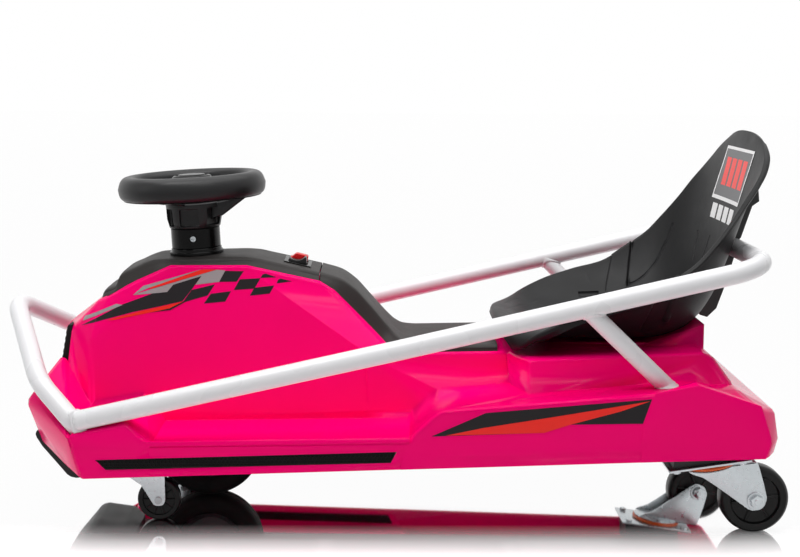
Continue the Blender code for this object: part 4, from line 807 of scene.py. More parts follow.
# Film on the left flank, in mm along X and up: colour, layer and shapes
FILM = [
    ("black", 0, [
        [(-407.6, 245.8), (-350.6, 276.3), (-309, 291.8), (-290.9, 293.4), (-270.6, 281.6), (-337.1, 266.8),
         (-371.7, 257.2)],
        [(-290.9, 293.4), (-282.9, 302.9), (-245.8, 314.4), (-258.7, 296.7), (-270.6, 281.6)],
        [(-215.6, 321.1), (-190.4, 320.8), (-199.3, 307.3), (-223.5, 306.8)],
        [(-165.2, 316.8), (-161.1, 317.6), (-147, 312.9), (-168.1, 312.3)],
        [(-195.3, 310.3), (-168.1, 311.8), (-176, 298.4), (-203.3, 296.3)],
        [(-144.9, 309.7), (-141.9, 311.3), (-126.8, 307.7), (-146.9, 305)],
        [(-258.7, 296.1), (-228.1, 303.6), (-237.4, 289.3), (-270.6, 279.6)],
        [(-233.4, 291.3), (-206.7, 294.9), (-214.2, 281.4), (-242.4, 278.7)],
        [(-176.1, 299.4), (-149.9, 302.5), (-155.8, 292), (-182, 289.1)],
        [(53.9, 139.1), (120.7, 169), (325, 186.9), (314.9, 156.1), (225.6, 154.7), (192.8, 144)]]),
    ("grey", 1, [
        [(-405.8, 251.7), (-403, 257.6), (-358, 277), (-349.6, 275.9), (-374.4, 265.6)],
        [(-336, 288.8), (-322.5, 300.8), (-244.9, 323.3), (-316.3, 298)],
        [(-336, 288.8), (-311.2, 297.1), (-258.9, 312.9), (-245.8, 314.4), (-282.9, 302.9), (-290.9, 293.4)],
        [(-258.9, 312.9), (-225.7, 322.6), (-214.6, 321.7), (-222.5, 306.8), (-253.7, 303),
         (-245.8, 314.4)]]),
    ("red", 2, [
        [(-316.3, 298), (-244.9, 322.9), (-225.7, 323), (-258.9, 313.3), (-311.2, 297.7)],
        [(-371.7, 255.9), (-324.9, 268.6), (-269.6, 281.2), (-287.6, 272.2), (-312.7, 266.8),
         (-362.4, 256.1)],
        [(71.4, 140.3), (118.6, 150.3), (211, 165.4), (323, 184.6), (287, 171.6), (225.6, 154.7),
         (192.8, 144)]]),
    ("black", 3, [
        [(-312.7, 266.8), (-287.6, 272.2), (-269.6, 281.2), (-266.6, 280.8), (-286.2, 270.2)]]),
]


def bar_film(left, right, low, high, lean=0.0):
    """A bar across the seat's back, leaning to one side."""
    return [(left, low), (right, low), (right + lean, high), (left + lean, high)]


SEAT_FILM = [
    ("slate", 0, [bar_film(-70, 70, 414, 482)]),
    ("white", 1, [bar_film(-72, -68, 414, 483), bar_film(68, 72, 414, 483), bar_film(-72, 72, 479, 483),
                  bar_film(-72, 72, 410, 415)]),
    ("red", 1, [bar_film(x, x + 22, 430, 468, 6) for x in (-60, -31, -2, 27)]),
    ("white", 0, [bar_film(x, x + 24, 384, 404, 4) for x in (-62, -31, 0, 31)]),
]


# Pieces


class KART_OT_finishes(bpy.types.Operator):
    """Give every carried-over solid the finish of its slot"""
    bl_idname = "kart.finishes"
    bl_label = "Finishes"

    def execute(self, context):
        slots = {part["node"]: part["material_slot"] for part in frame["record"]["subparts"]}
        for name, obj in NODES.items():
            obj.data.materials.clear()
            obj.data.materials.append(finish_of(slots[name]))
        return {"FINISHED"}


class KART_OT_tubes(bpy.types.Operator):
    """Bend the hoop, the rail and the struts from round tube, and weld them"""
    bl_idname = "kart.tubes"
    bl_label = "Tubes"

    def execute(self, context):
        size = context.scene.kart_tubes
        turn = radians(5)
        hoop_bead, rail_bead = 0.0045, 0.0022
        hoop = run_of_tube(HOOP, HOOP_BENDS, size.radius, size.sides, turn)
        finished(hoop, "bumper_hoop_tube", "chassis", "white_tube", ["front_bumper_hoop"], smooth=35)
        rail = run_of_tube(RAIL, RAIL_BENDS, size.radius, size.sides, turn)
        beads = [bevelled(rail, 0.005, 4)]
        for side in (-1, 1):
            # the rail's cut end is welded all round to the hoop's bend
            end = on_side(RAIL_FRONT, side)
            back = (Vector((0, side * RAIL_HALF, rail_z(0))) - end).normalized()
            joint = on_side(HOOP_JOINT, side)
            along = on_side(HOOP_WAY, side) * 0.03
            beads.append(weld((joint - along, joint + along, size.radius + hoop_bead),
                              (end - back * 0.004, end + back * 0.012, size.radius + rail_bead)))
        finished(joined(beads), "guard_rail_tube", "chassis", "white_tube", ["guard_rail"], smooth=35)
        for side, word in SIDES:
            near, top, far = (Vector((x, side * RAIL_HALF, rail_z(x)))
                              for x in (STRUT_X - 0.030, STRUT_X, STRUT_X + 0.030))
            foot = on_side(STRUT_FOOT, side)
            reach = (top - foot).normalized()
            tube = run_of_tube([foot - reach * 0.004, top], [], size.strut_radius, size.sides, turn)
            place = tipped(foot, STRUT_PAD_SLOPE)
            pad = turned(mm([(0, 0), (15.2, 0), (15.2, 1), (14.4, 1.8), (0, 1.8)]), 48, place)
            ring = mm([(-1, 1.2), (2.4, 1.4), (1.2, 3.2), (0, 5.2), (-1, 5.2)])
            foot_bead = turned([(size.strut_radius + out, up) for out, up in ring], 48, place)
            bead = weld((near, far, size.radius + size.bead),
                        (top, top - reach * 0.030, size.strut_radius + size.bead))
            finished(joined([tube, pad, foot_bead, bead]), "strut_" + word, "chassis", "white_tube",
                     ["rail_strut_" + word], smooth=40)
        return {"FINISHED"}


class KART_OT_seat(bpy.types.Operator):
    """Mould the bucket seat with its bolsters, its lip lines and its grooves"""
    bl_idname = "kart.seat"
    bl_label = "Seat"

    def execute(self, context):
        size = context.scene.kart_seat
        stations = self.stations()
        turn = np.linspace(-1, 1, 113)
        face = np.array([self.row(at, np.sin(turn * pi / 2)) for at in stations])
        normal = np.cross(np.gradient(face, axis=0), np.gradient(face, axis=1))
        normal /= np.maximum(np.linalg.norm(normal, axis=2, keepdims=True), 1e-9)
        if normal[len(stations) // 3, 60, 2] < 0:
            normal = -normal
        face += normal * self.relief(face, size)[..., None]
        seat = draped(self.rolled(face, normal), size.wall, (0.3, 0, 0.24))
        sitter = Vector((0.30, 0, 0.40))
        tools = []
        for points, radius in SEAT_GROOVES:
            for side in (-1, 1):
                # the groove's tool follows the seat's inside, sunk a little more than half
                line = []
                for point in points:
                    at, outward = seat.closest_point_on_mesh(on_side(point, side))[1:3]
                    inward = 1 if outward.dot(sitter - at) > 0 else -1
                    line.append(at + outward * radius * 0.45 * inward)
                tools.append(run_of_tube(line, [0.02] * (len(line) - 2), radius, 12, radians(12)))
        cut(seat, joined(tools))
        finished(seat, "bucket_seat", "chassis", "black_seat", ["seat_shell"], smooth=50)
        return {"FINISHED"}

    def stations(self):
        """Stations along the seat, closer together where the moulded lines are."""
        stations, run, at, before = [0.0], 0.0, 0.0, self.section(0.0)
        while at < len(SEAT_SECTIONS) - 1:
            at += 0.005
            here = self.section(at)
            step = sqrt((here[2] - before[2]) ** 2 + (here[4] - before[4]) ** 2)
            step = max(step, sqrt((here[0] - before[0]) ** 2 + (here[1] - before[1]) ** 2))
            wanted = 0.0024
            if here[2] < 0.235:
                wanted = 0.0015
            elif here[2] < 0.275:
                wanted = 0.0035
            elif here[4] < 0.342:
                wanted = 0.0013
            run += step / wanted
            before = here
            if run >= 1:
                stations.append(at)
                run = 0.0
        return stations + [len(SEAT_SECTIONS) - 1.0]

    def section(self, at):
        """A section between the named ones, on a smooth curve through them."""
        last = len(SEAT_SECTIONS) - 1
        low = min(int(at), last - 1)
        part = at - low
        a, b, c, d = (np.array(SEAT_SECTIONS[min(max(low + k, 0), last)]) for k in (-1, 0, 1, 2))
        return 0.5 * (2 * b + (c - a) * part + (2 * a - 5 * b + 4 * c - d) * part ** 2
                      + (3 * b - a - 3 * c + d) * part ** 3)

    def row(self, at, across):
        """The points of one section, from rim to rim."""
        centre_x, centre_z, rim_x, half, rim_z, square = self.section(at)
        lift = np.abs(across) ** square
        return np.stack([centre_x + (rim_x - centre_x) * lift, half * across,
                         centre_z + (rim_z - centre_z) * lift], axis=1)

    def rolled(self, face, normal):
        """The face with its rims rolled outwards and down, in a long lip in front and a short one on top."""
        roll, steps = 0.0045, 8
        front_sweep, back_sweep = radians(150), radians(85)
        line = np.clip(np.linspace(0, 1, len(face))[:, None] * 1.5, 0, 1)
        sweep = front_sweep + (back_sweep - front_sweep) * line
        lip = 0.010 - 0.007 * line
        sides = []
        for edge, inner in ((0, 6), (-1, -7)):
            onward = face[:, edge] - face[:, inner]
            onward /= np.linalg.norm(onward, axis=1, keepdims=True)
            outward = -normal[:, inner]
            outward -= onward * (outward * onward).sum(axis=1, keepdims=True)
            outward /= np.linalg.norm(outward, axis=1, keepdims=True)
            made = []
            for k in range(1, steps + 1):
                angle = sweep * k / steps
                made.append(face[:, edge] + roll * (np.sin(angle) * onward + (1 - np.cos(angle)) * outward))
            made.append(made[-1] + lip * (np.cos(sweep) * onward + np.sin(sweep) * outward))
            sides.append(np.stack(made[::-1] if edge == 0 else made, axis=1))
        return np.concatenate([sides[0], face, sides[1]], axis=1)

    def relief(self, face, size):
        """How far the moulded lines and bolsters stand off the smooth face, inwards positive."""
        near = face.copy()
        near[..., 1] = np.abs(near[..., 1])
        lift = np.zeros(face.shape[:2])
        for points, half_width, depth in SEAT_LINES:
            away = distance_to_line(near, points)
            lift -= depth * np.clip(1.4 - away / half_width, 0, 1)
        # the bolster band between the step and the deep groove
        front = line_x_at(near, SEAT_STEP)
        back = line_x_at(near, SEAT_LINES[0][0])
        band = np.clip((near[..., 0] - front) / 0.0012, 0, 1) * np.clip((back - near[..., 0]) / 0.0012, 0, 1)
        side = np.clip((near[..., 1] - 0.130) / 0.010, 0, 1)
        return lift + band * side * size.bolster


class KART_OT_covers(bpy.types.Operator):
    """Mould the two grained covers on the hump, and the rockers in the switch"""
    bl_idname = "kart.covers"
    bl_label = "Hood covers"

    def execute(self, context):
        ends, near, crest = zip(*COVER)
        # stations: the blunt front end, then the long back
        at = np.concatenate([np.linspace(ends[0], -0.350, 36), np.linspace(-0.348, ends[-1], 96)])
        edge = eased(ends, near, at)
        middle = eased(ends, crest, at)
        hump = np.interp(at, *zip(*HUMP))
        blunt = np.clip((at - ends[0]) / 0.012, 0, 1) ** 0.5
        foot_half, top_half = 0.0500 + 0.0090 * blunt, 0.0420 + 0.0080 * blunt
        front = self.strip(at, hump, foot_half, at, edge, top_half, middle - edge)
        cover = draped(front, COVER_WALL, (-0.20, 0, 0.338))
        place = tipped((-0.122, 0, 0.3243), -SWITCH_SLOPE)
        for tool, turn in ((block((0.0345, 0.0515, 0.05)), place),
                           (rod(0.022, 0.06, (0, 0, 0.26)), tipped(AXLE, context.scene.kart_steering.rake))):
            tool.matrix_world = turn @ tool.matrix_world
            cut(cover, tool)
        finished(cover, "hood_cover_front", "chassis", "dark_trim", ["hood_trim_front"], smooth=45)
        tail = np.array(TAIL_COVER)
        count = np.arange(len(tail))
        at = np.linspace(0, len(tail) - 1, 120)
        shape = [eased(count, tail[:, k], at) for k in range(6)]
        cover = draped(self.strip(*shape, np.full(len(at), 0.0008)), COVER_WALL, (0.10, 0, 0.227))
        finished(cover, "hood_cover_rear", "chassis", "dark_trim", ["hood_trim_rear"], smooth=45)
        for side, name, body, slot, outline in ROCKERS:
            rocker = slab(outline, thickness=0.0170)
            rocker.location.y = side * 0.0110
            bevelled(rocker, 0.0007, 2, 35)
            finished(rocker, name + "_moulded", body, slot, [name], smooth=40, matrix=place)
        return {"FINISHED"}

    def strip(self, foot_x, foot_z, foot_half, top_x, top_z, top_half, crown):
        """A raised strip's face: foot, side, rounded shoulder, and a top that rises to its middle."""
        sunk = 0.0015
        tall = np.clip((top_z - foot_z + 0.002) / 0.010, 0.1, 1)
        half = []
        for part, out, down in SHOULDER:
            x = foot_x + (top_x - foot_x) * part
            y = foot_half + (top_half - foot_half) * part + out * tall
            z = foot_z - sunk + (top_z - foot_z + sunk) * part + down * tall
            half.append(np.stack([x, y, z], axis=1))
        for share in (0.90, 0.82, 0.72, 0.55, 0.36, 0.18, 0.0):
            half.append(np.stack([top_x, top_half * share, top_z + crown * (1 - share ** 4)], axis=1))
        half = np.array(half).transpose(1, 0, 2)
        return np.concatenate([half, half[:, -2::-1] * np.array([1, -1, 1])], axis=1)


class KART_OT_steering(bpy.types.Operator):
    """Turn the rim, the hub, the cap, the collar and the flange, and set the spokes"""
    bl_idname = "kart.steering"
    bl_label = "Steering wheel"

    def execute(self, context):
        size = context.scene.kart_steering
        axis = tipped(AXLE, size.rake)
        top = size.height - HUB_BELOW_RIM
        low = top - HUB_HEIGHT
        collar_low = low - COLUMN_GAP - COLLAR[-1][1]
        flange_low = collar_low - COLUMN_GAP - FLANGE[-1][1]
        wheel = joined([self.rim(size), self.hub(size.hub, low, top), *self.spokes(size, low, top)])
        cap = turned(lifted(STEERING_CAP, top), 72)
        collar = turned(lifted(COLLAR, collar_low), 80)
        # the pocket of the collar's screw
        cut(collar, rod(0.0043, 0.018, (0, -0.031, collar_low + 0.0135), 32, (pi / 2, 0, 0)))
        flange = turned(lifted(FLANGE, flange_low), 80)
        for obj, name, slot, solid, smooth in (
                (wheel, "steering_wheel_moulded", "steering_black", "steering_wheel", 32),
                (cap, "steering_cap_moulded", "column_black", "steering_cap", 30),
                (collar, "column_collar", "column_black", "steering_column", 30),
                (flange, "column_flange_turned", "column_black", "column_flange", 30)):
            finished(obj, name, "steering", slot, [solid], smooth=smooth, matrix=axis)
        return {"FINISHED"}

    def rim(self, size):
        """A squarish round that leans in at the top, with the mould's parting line outside."""
        corners, squareness, parting_line = 28, 0.72, 0.03
        section = []
        for k in range(corners):
            angle = 2 * pi * k / corners
            out = copysign(abs(cos(angle)) ** squareness, cos(angle)) + (parting_line if k == 0 else 0.0)
            up = copysign(abs(sin(angle)) ** squareness, sin(angle))
            out -= 0.24 * max(up, 0) if out > 0 else 0.0
            out += 0.50 * max(-up, 0) if out < 0 else 0.0
            section.append((size.ring + size.half_width * out, size.height + size.half_height * up))
        return turned(section, 96)

    def hub(self, radius, low, top):
        """A drum with deep panels between six ribs."""
        hub = turned([(0.0, low), (radius - 0.0040, low), (radius - 0.0032, low + 0.0008),
                      (radius - 0.0006, low + 0.0120), (radius - 0.0002, top - 0.0050),
                      (radius, top - 0.0035), (radius - 0.0006, top - 0.0012), (radius - 0.0022, top),
                      (0.0, top)], 90)
        for k in range(6):
            panel = bevelled(block((0.0140, 0.0262, 0.0240), (radius - 0.0025, 0, low + 0.0150)), 0.0022, 3)
            panel.matrix_world = Matrix.Rotation(2 * pi * (k + 0.43) / 6, 4, "Z") @ panel.matrix_world
            cut(hub, panel)
        return hub

    def spokes(self, size, low, top):
        """Three webs from hub to rim, narrower outwards; the one to the rear reaches lower."""
        made = []
        for angle, raised in ((0, 0.0), (125, 0.0185), (-125, 0.0185)):
            spoke = slab([(0.024, low + 0.010 + raised), (0.040, low + 0.0145 + raised),
                          (size.ring - 0.004, size.height - 0.013 + raised * 0.4),
                          (size.ring, size.height - 0.004), (size.ring - 0.006, size.height + 0.003),
                          (0.052, top + 0.003), (0.024, top - 0.002)], 0.031)
            activate(spoke, "EDIT")
            pick(spoke, lambda place: place.x > 0.06)
            bpy.ops.transform.resize(value=(1, 0.76, 1), center_override=(0, 0, 0))
            bpy.ops.object.mode_set(mode="OBJECT")
            bevelled(spoke, 0.0028, 3, 20)
            spoke.matrix_world = Matrix.Rotation(radians(angle), 4, "Z")
            made.append(spoke)
        return made


class KART_OT_wheels(bpy.types.Operator):
    """Turn the tyre, the rollers, the caster wheels and the orange races, and press their steel"""
    bl_idname = "kart.wheels"
    bl_label = "Wheels"

    def execute(self, context):
        axle = tipped(AXLE, context.scene.kart_steering.rake) @ ALONG_Y
        finished(turned(mirrored(TYRE), 120, axle), "drive_tyre_moulded", "drive_wheel", "drive_tyre",
                 ["drive_tyre"], smooth=35)
        for side, word in SIDES:
            pin = Matrix.Translation(on_side(ROLLER_AT, side))
            roller = turned(mirrored(ROLLER), 80, pin @ ALONG_Y)
            ribs = self.ribs(count=10, inner=0.0078, outer=0.0210, half=0.0011, reach=0.0066,
                             matrix=pin @ ALONG_Y)
            finished(joined([roller, ribs]), "front_roller_moulded_" + word, "roller_" + word,
                     "roller_black", ["front_roller_" + word], smooth=32)
            swivel = tipped(on_side(CASTER_AT, side), CASTER_TILT)
            hub = swivel @ Matrix.Translation((WHEEL_BACK, 0, -WHEEL_DOWN)) @ ALONG_Y
            wheel = turned(mirrored(CASTER_WHEEL), 96, hub)
            ribs = self.ribs(count=6, inner=0.0108, outer=0.0308, half=0.0016, reach=0.0118, matrix=hub)
            finished(joined([wheel, ribs]), "caster_wheel_moulded_" + word, "caster_wheel_" + word,
                     "roller_black", ["rear_caster_wheel_" + word], smooth=32)
            finished(turned(CASTER_RACE, 80, swivel), "caster_race_" + word, "caster_" + word, "orange_race",
                     ["rear_caster_race_" + word], smooth=40)
            self.caster_steel(word, swivel, hub)
            # two wide cheeks bent down from a web
            cheeks = self.cheeks(ROLLER_CHEEK, thickness=0.0020, apart=0.0110, soft=0.0005)
            finished(joined([self.plate((-16, 0, 73.7), (48, 24, 2), 0.5), *cheeks]),
                     "roller_bracket_pressed_" + word, "chassis", "zinc_steel",
                     ["front_roller_bracket_" + word], smooth=35, matrix=pin)
        return {"FINISHED"}

    def plate(self, place, size, soft):
        """A flat piece of sheet with soft edges, in mm."""
        return bevelled(block(mm(size), mm(place)), mm(soft))

    def cheeks(self, outline, thickness, apart, soft):
        """Two walls of sheet, each a distance from the middle."""
        made = []
        for side in (-1, 1):
            wall = slab(outline, thickness)
            wall.location.y = side * apart
            made.append(bevelled(wall, soft, 2, 40))
        return made

    def caster_steel(self, word, swivel, hub):
        """The caster's top plate with its four bolts, its pressed fork, and its axle bolt with nuts."""
        plates = [self.plate((-4, 0, 9.4), (105, 72, 2.8), 0.5)]
        for along in (-0.046, 0.038):
            for across in (-0.028, 0.028):
                head = rod(0.0050, 0.0034, (along, across, CASTER_LIFT - 0.0016), 6)
                plates.append(bevelled(head, 0.0005, 2, 30))
        finished(joined(plates), "caster_plate_pressed_" + word, "chassis", "zinc_steel",
                 ["rear_caster_plate_" + word], smooth=30, matrix=swivel)
        sheets = [self.plate((14.5, 0, 1), (86, 38, 2.5), 0.6), turned(FORK_CROWN, 72),
                  *self.cheeks(CASTER_LEG, thickness=0.0025, apart=0.01775, soft=0.0006)]
        finished(joined(sheets), "caster_fork_pressed_" + word, "caster_" + word, "zinc_steel",
                 ["rear_caster_fork_" + word], smooth=35, matrix=swivel)
        bolt = [turned(mirrored(CASTER_BOLT), 40, hub)]
        for side in (-1, 1):
            nut = bevelled(rod(0.0090, 0.0056, sides=6), 0.0007, 2, 30)
            nut.matrix_world = hub @ Matrix.Translation((0, 0, side * 0.0234))
            bolt.append(nut)
        finished(joined(bolt), "caster_bolt_" + word, "caster_" + word, "zinc_steel",
                 ["rear_caster_axle_" + word], smooth=30)

    def ribs(self, count, inner, outer, half, reach, matrix):
        """Radial ribs in a wheel's recess."""
        made = []
        for k in range(count):
            rib = block((outer - inner, 2 * half, 2 * reach), ((inner + outer) / 2, 0, 0))
            bevelled(rib, half * 0.5, 1)
            rib.matrix_world = matrix @ Matrix.Rotation(2 * pi * k / count, 4, "Z") @ rib.matrix_world
            made.append(rib)
        return joined(made)


class KART_OT_pressings(bpy.types.Operator):
    """Round the edges of the pressed, moulded and turned small pieces as their tools leave them"""
    bl_idname = "kart.pressings"
    bl_label = "Pressed and moulded pieces"

    def execute(self, context):
        for row in PRESSINGS:
            softened(*row)
        welded = softened("chassis_frame", "frame_welded", "chassis", "black_frame", 0.0008)
        # the pads of the casters end above the raised plates
        activate(welded, "EDIT")
        pick(welded, lambda place: place.x > 0.355 and abs(place.y) > 0.12 and place.z < 0.105)
        up = (-CASTER_LIFT * sin(CASTER_TILT), 0, CASTER_LIFT * cos(CASTER_TILT))
        bpy.ops.transform.translate(value=up)
        bpy.ops.object.mode_set(mode="OBJECT")
        pan = bevelled(slab(PAN, thickness=0.224), 0.004, 3, 20)
        finished(pan, "nose_pan_moulded", "chassis", "black_pan", ["nose_pan"], smooth=40)
        return {"FINISHED"}


class KART_OT_mesh(bpy.types.Operator):
    """Weave the honeycomb of the front grille and of the side strips"""
    bl_idname = "kart.mesh"
    bl_label = "Grilles"

    def execute(self, context):
        size = context.scene.kart_mesh
        for side, word in SIDES:
            strip = slab(SIDE_STRIP, 0.0016)
            strip.location.y = side * 0.2190
            middle = Matrix.Translation((-0.175, side * 0.2190, 0.107))
            comb = self.honeycomb(size, 0.385, 0.032, middle)
            modify(comb, "BOOLEAN", operation="INTERSECT", solver="EXACT", object=strip)
            modify(strip, "WIREFRAME", thickness=0.0016, use_boundary=False, use_even_offset=True)
            finished(joined([comb, strip]), "side_mesh_" + word, "chassis", "black_mesh", smooth=0)
        lean = atan((GRILLE[1][0] - GRILLE[2][0]) / (GRILLE[1][1] - GRILLE[2][1]))
        face = tipped((-0.4343, 0, 0.2165), -lean) @ Matrix.Rotation(radians(90), 4, "Z")
        comb = self.honeycomb(size, 0.09, 0.06, face)
        window = block((0.080, 0.048, 0.004))
        window.matrix_world = face @ ALONG_Y @ window.matrix_world
        cut(comb, window, "INTERSECT")
        panel = bevelled(slab(GRILLE, thickness=0.0880), 0.0012, 2, 20)
        finished(joined([comb, panel]), "front_mesh", "chassis", "black_mesh", ["front_grille"], smooth=30)
        return {"FINISHED"}

    def honeycomb(self, size, length, height, matrix):
        """Six-sided cells in rows, their outlines turned to webs."""
        pitch = size.pitch
        row = pitch * sqrt(3) / 2
        deselect()
        bpy.ops.mesh.primitive_circle_add(vertices=6, radius=pitch / sqrt(3), fill_type="NGON")
        comb = self.repeated(bpy.context.object, int(length / pitch) + 1, (pitch, 0, 0))
        second = twin(comb)
        second.location = (pitch / 2, row, 0)
        comb = self.repeated(joined([comb, second]), int(height / row / 2) + 1, (0, 2 * row, 0))
        activate(comb, "EDIT")
        bpy.ops.mesh.select_all(action="SELECT")
        bpy.ops.mesh.remove_doubles(threshold=0.0003)
        bpy.ops.object.mode_set(mode="OBJECT")
        modify(comb, "WIREFRAME", thickness=size.web, use_boundary=True, use_even_offset=False)
        comb.matrix_world = matrix @ ALONG_Y @ Matrix.Translation((-length / 2, -height / 2, 0))
        activate(comb)
        bpy.ops.object.transform_apply(location=True, rotation=True, scale=True)
        return comb

    def repeated(self, obj, count, step):
        """A piece in a row of copies that share their touching corners."""
        return modify(obj, "ARRAY", count=count, use_relative_offset=False, use_constant_offset=True,
                      constant_offset_displace=step, use_merge_vertices=True, merge_threshold=0.0002)


class KART_OT_stickers(bpy.types.Operator):
    """Cut the film shapes and press them on the hood, the skirt and the seat"""
    bl_idname = "kart.stickers"
    bl_label = "Stickers"

    def execute(self, context):
        film = context.scene.kart_stickers.film
        looks = {
            "black": vinyl("Printed vinyl film, black", "0C060A"),
            "grey": vinyl("Printed vinyl film, silver grey", "9A9496"),
            "slate": vinyl("Printed vinyl film, slate grey", "555557"),
            "red": vinyl("Printed vinyl film, signal red", "F0261C"),
            "white": vinyl("Printed vinyl film, white", "ECECEC"),
        }
        for colour, layer, shapes in FILM:
            left = joined([self.flank_film(shape, film + layer * 0.0001) for shape in shapes])
            right = twin(left)
            right.scale.y = -1
            for piece, word in ((left, "left"), (right, "right")):
                finished(piece, "film_%s_%d_%s" % (colour, layer, word), "chassis", "", look=looks[colour])
        for colour, layer, shapes in SEAT_FILM:
            pieces = [self.pressed([(0.400, y / 1000, z / 1000) for y, z in shape], "bucket_seat", "X",
                                   film + layer * 0.00015) for shape in shapes]
            finished(joined(pieces), "seat_film_%s_%d" % (colour, layer), "chassis", "", look=looks[colour])
        return {"FINISHED"}

    def flank_film(self, points, lift):
        """One shape, given in X and Z as it is seen from the side, without what hangs past the body."""
        sheet = self.pressed([(x / 1000, -0.300, z / 1000) for x, z in points], "body_moulded", "Y", lift)
        activate(sheet, "EDIT")
        pick(sheet, lambda place: place.y < -0.29)
        bpy.ops.mesh.delete(type="VERT")
        bpy.ops.object.mode_set(mode="OBJECT")
        return sheet

    def pressed(self, points, target, axis, lift):
        """A flat shape cut fine and pressed along X or Y on a piece."""
        sheet = outline_loop(points)
        bpy.ops.mesh.edge_face_add()
        bpy.ops.mesh.quads_convert_to_tris(quad_method="BEAUTY", ngon_method="BEAUTY")
        for number in (5, 1):
            bpy.ops.mesh.subdivide(number_cuts=number)
        bpy.ops.object.mode_set(mode="OBJECT")
        return modify(sheet, "SHRINKWRAP", wrap_method="PROJECT", wrap_mode="ABOVE_SURFACE",
                      use_project_x=axis == "X", use_project_y=axis == "Y", use_project_z=False,
                      use_positive_direction=True, use_negative_direction=False,
                      target=bpy.data.objects[target], offset=lift)


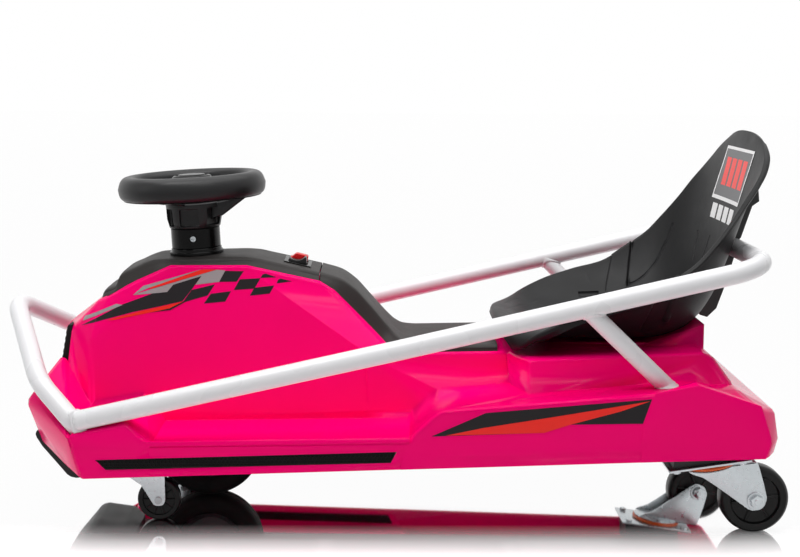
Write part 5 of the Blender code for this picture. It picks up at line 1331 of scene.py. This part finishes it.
class KART_OT_stage(bpy.types.Operator):
    """Set the floor, the lights, the background and the camera"""
    bl_idname = "kart.stage"
    bl_label = "Stage"

    def execute(self, context):
        size = context.scene.kart_stage
        deselect()
        bpy.ops.mesh.primitive_plane_add(size=30, location=(0, 0, 0))
        floor = bpy.context.object
        floor.name = "floor"
        floor.data.materials.append(self.acrylic())
        self.softbox("key_softbox", (0.0, 0.1, 1.7), (0.0, 0.0, 0.0), (2.6, 1.5), size.key)
        self.softbox("fill_softbox", (-0.3, -1.10, 2.2), (0.0, 0.0, 0.15), (2.4, 0.5), size.fill)
        self.softbox("edge_softbox", (0.0, -0.55, 2.1), (0.0, 0.0, 0.2), (2.6, 0.06), size.edge)
        self.softbox("nose_softbox", (-2.2, -0.6, 1.2), (-0.3, 0.0, 0.2), (0.5, 1.0), size.fill * 0.08)
        self.white_world(context.scene)
        context.scene.view_settings.view_transform = "Standard"
        self.camera(context.scene, size.lens)
        return {"FINISHED"}

    def white_world(self, scene):
        """White to the camera and in every reflection, and only a little light of its own."""
        world = bpy.data.worlds.new("Studio white")
        world.use_nodes = True
        tree = world.node_tree
        path = node(tree, "ShaderNodeLightPath")
        seen = path.outputs["Is Camera Ray"]
        for ray in ("Is Glossy Ray", "Is Transmission Ray"):
            either = node(tree, "ShaderNodeMath", {0: seen, 1: path.outputs[ray]}, operation="MAXIMUM")
            seen = either.outputs[0]
        back = tree.nodes["Background"]
        back.inputs["Color"].default_value = (1, 1, 1, 1)
        tree.links.new(ranged(tree, seen, 0.05, 1.0, 0.0, 1.0), back.inputs["Strength"])
        scene.world = world

    def acrylic(self):
        """White mirror-gloss sheet: it mirrors the kart, and turns matt white towards the camera."""
        fade_start, fade_end = -0.265, -0.145
        made, tree, shader, place = blank("Mirror-gloss sheet, white")
        shader.inputs["Base Color"].default_value = (0.985, 0.985, 0.985, 1)
        dull = ranged(tree, noise(tree, place, 3.0, 2.0), 0.02, 0.05, 0.0, 1.0)
        tree.links.new(dull, shader.inputs["Roughness"])
        depth = node(tree, "ShaderNodeSeparateXYZ", {"Vector": place}).outputs["Y"]
        tree.links.new(ranged(tree, depth, 0.0, 0.98, fade_start, fade_end), shader.inputs["Metallic"])
        path = node(tree, "ShaderNodeLightPath")
        lift = ranged(tree, depth, 0.42, 0.0, fade_start, fade_end)
        seen = path.outputs["Is Camera Ray"]
        glow = node(tree, "ShaderNodeMath", {0: seen, 1: lift}, operation="MULTIPLY")
        shader.inputs["Emission Color"].default_value = (1, 1, 1, 1)
        tree.links.new(glow.outputs[0], shader.inputs["Emission Strength"])
        return made

    def softbox(self, name, place, target, size, power):
        deselect()
        aim = Vector(target) - Vector(place)
        bpy.ops.object.light_add(type="AREA", location=place,
                                 rotation=aim.to_track_quat("-Z", "Y").to_euler())
        lamp = bpy.context.object
        lamp.name = name
        lamp.data.shape = "RECTANGLE"
        lamp.data.size, lamp.data.size_y = size
        lamp.data.energy = power

    def camera(self, scene, lens):
        """Where the photographer stood: 1.9 m to the left, a little above, looking slightly down."""
        yaw, pitch, roll = -0.0153, 0.151, 0.007
        right = Vector((cos(yaw), sin(yaw), 0))
        ahead = Vector((-sin(yaw), cos(yaw), 0))
        above = Vector((0, 0, 1))
        look = ahead * cos(pitch) - above * sin(pitch)
        above = above * cos(pitch) + ahead * sin(pitch)
        across = right * cos(roll) + above * sin(roll)
        above = above * cos(roll) - right * sin(roll)
        deselect()
        bpy.ops.object.camera_add(location=(-0.0123, -1.9249, 0.5951))
        camera = bpy.context.object
        turn = Matrix((across, above, -look)).transposed()
        camera.rotation_euler = turn.to_euler()
        camera.data.lens = lens
        camera.data.sensor_width = 36
        camera.data.sensor_fit = "HORIZONTAL"
        camera.data.clip_start = 0.05
        scene.camera = camera


OPERATORS = [KART_OT_finishes, KART_OT_tubes, KART_OT_seat, KART_OT_covers, KART_OT_steering, KART_OT_wheels,
             KART_OT_pressings, KART_OT_mesh, KART_OT_stickers, KART_OT_stage]
GROUPS = {
    "kart_tubes": KartTubes,
    "kart_seat": KartSeat,
    "kart_steering": KartSteering,
    "kart_mesh": KartMesh,
    "kart_stickers": KartStickers,
    "kart_stage": KartStage,
}


class KART_PT_panel(bpy.types.Panel):
    """The kart's sizes, colours and pieces"""
    bl_idname = "KART_PT_panel"
    bl_label = "Drift kart"
    bl_space_type = "VIEW_3D"
    bl_region_type = "UI"
    bl_category = "Kart"

    def draw(self, context):
        for name, group in GROUPS.items():
            box = self.layout.box()
            box.label(text=group.__doc__)
            for key in group.__annotations__:
                box.prop(getattr(context.scene, name), key)
        for operator in OPERATORS:
            self.layout.operator(operator.bl_idname)


def register():
    for group in GROUPS.values():
        bpy.utils.register_class(group)
    for name, group in GROUPS.items():
        setattr(bpy.types.Scene, name, PointerProperty(type=group))
    for operator in OPERATORS:
        bpy.utils.register_class(operator)
    bpy.utils.register_class(KART_PT_panel)


def unregister():
    bpy.utils.unregister_class(KART_PT_panel)
    for operator in reversed(OPERATORS):
        bpy.utils.unregister_class(operator)
    for name in GROUPS:
        delattr(bpy.types.Scene, name)
    for group in reversed(list(GROUPS.values())):
        bpy.utils.unregister_class(group)


def main():
    register()
    for operator in OPERATORS:
        call = operator.bl_idname.split(".")[1]
        getattr(bpy.ops.kart, call)()
    deselect()
    bpy.context.view_layer.update()


if __name__ == "__main__":
    main()
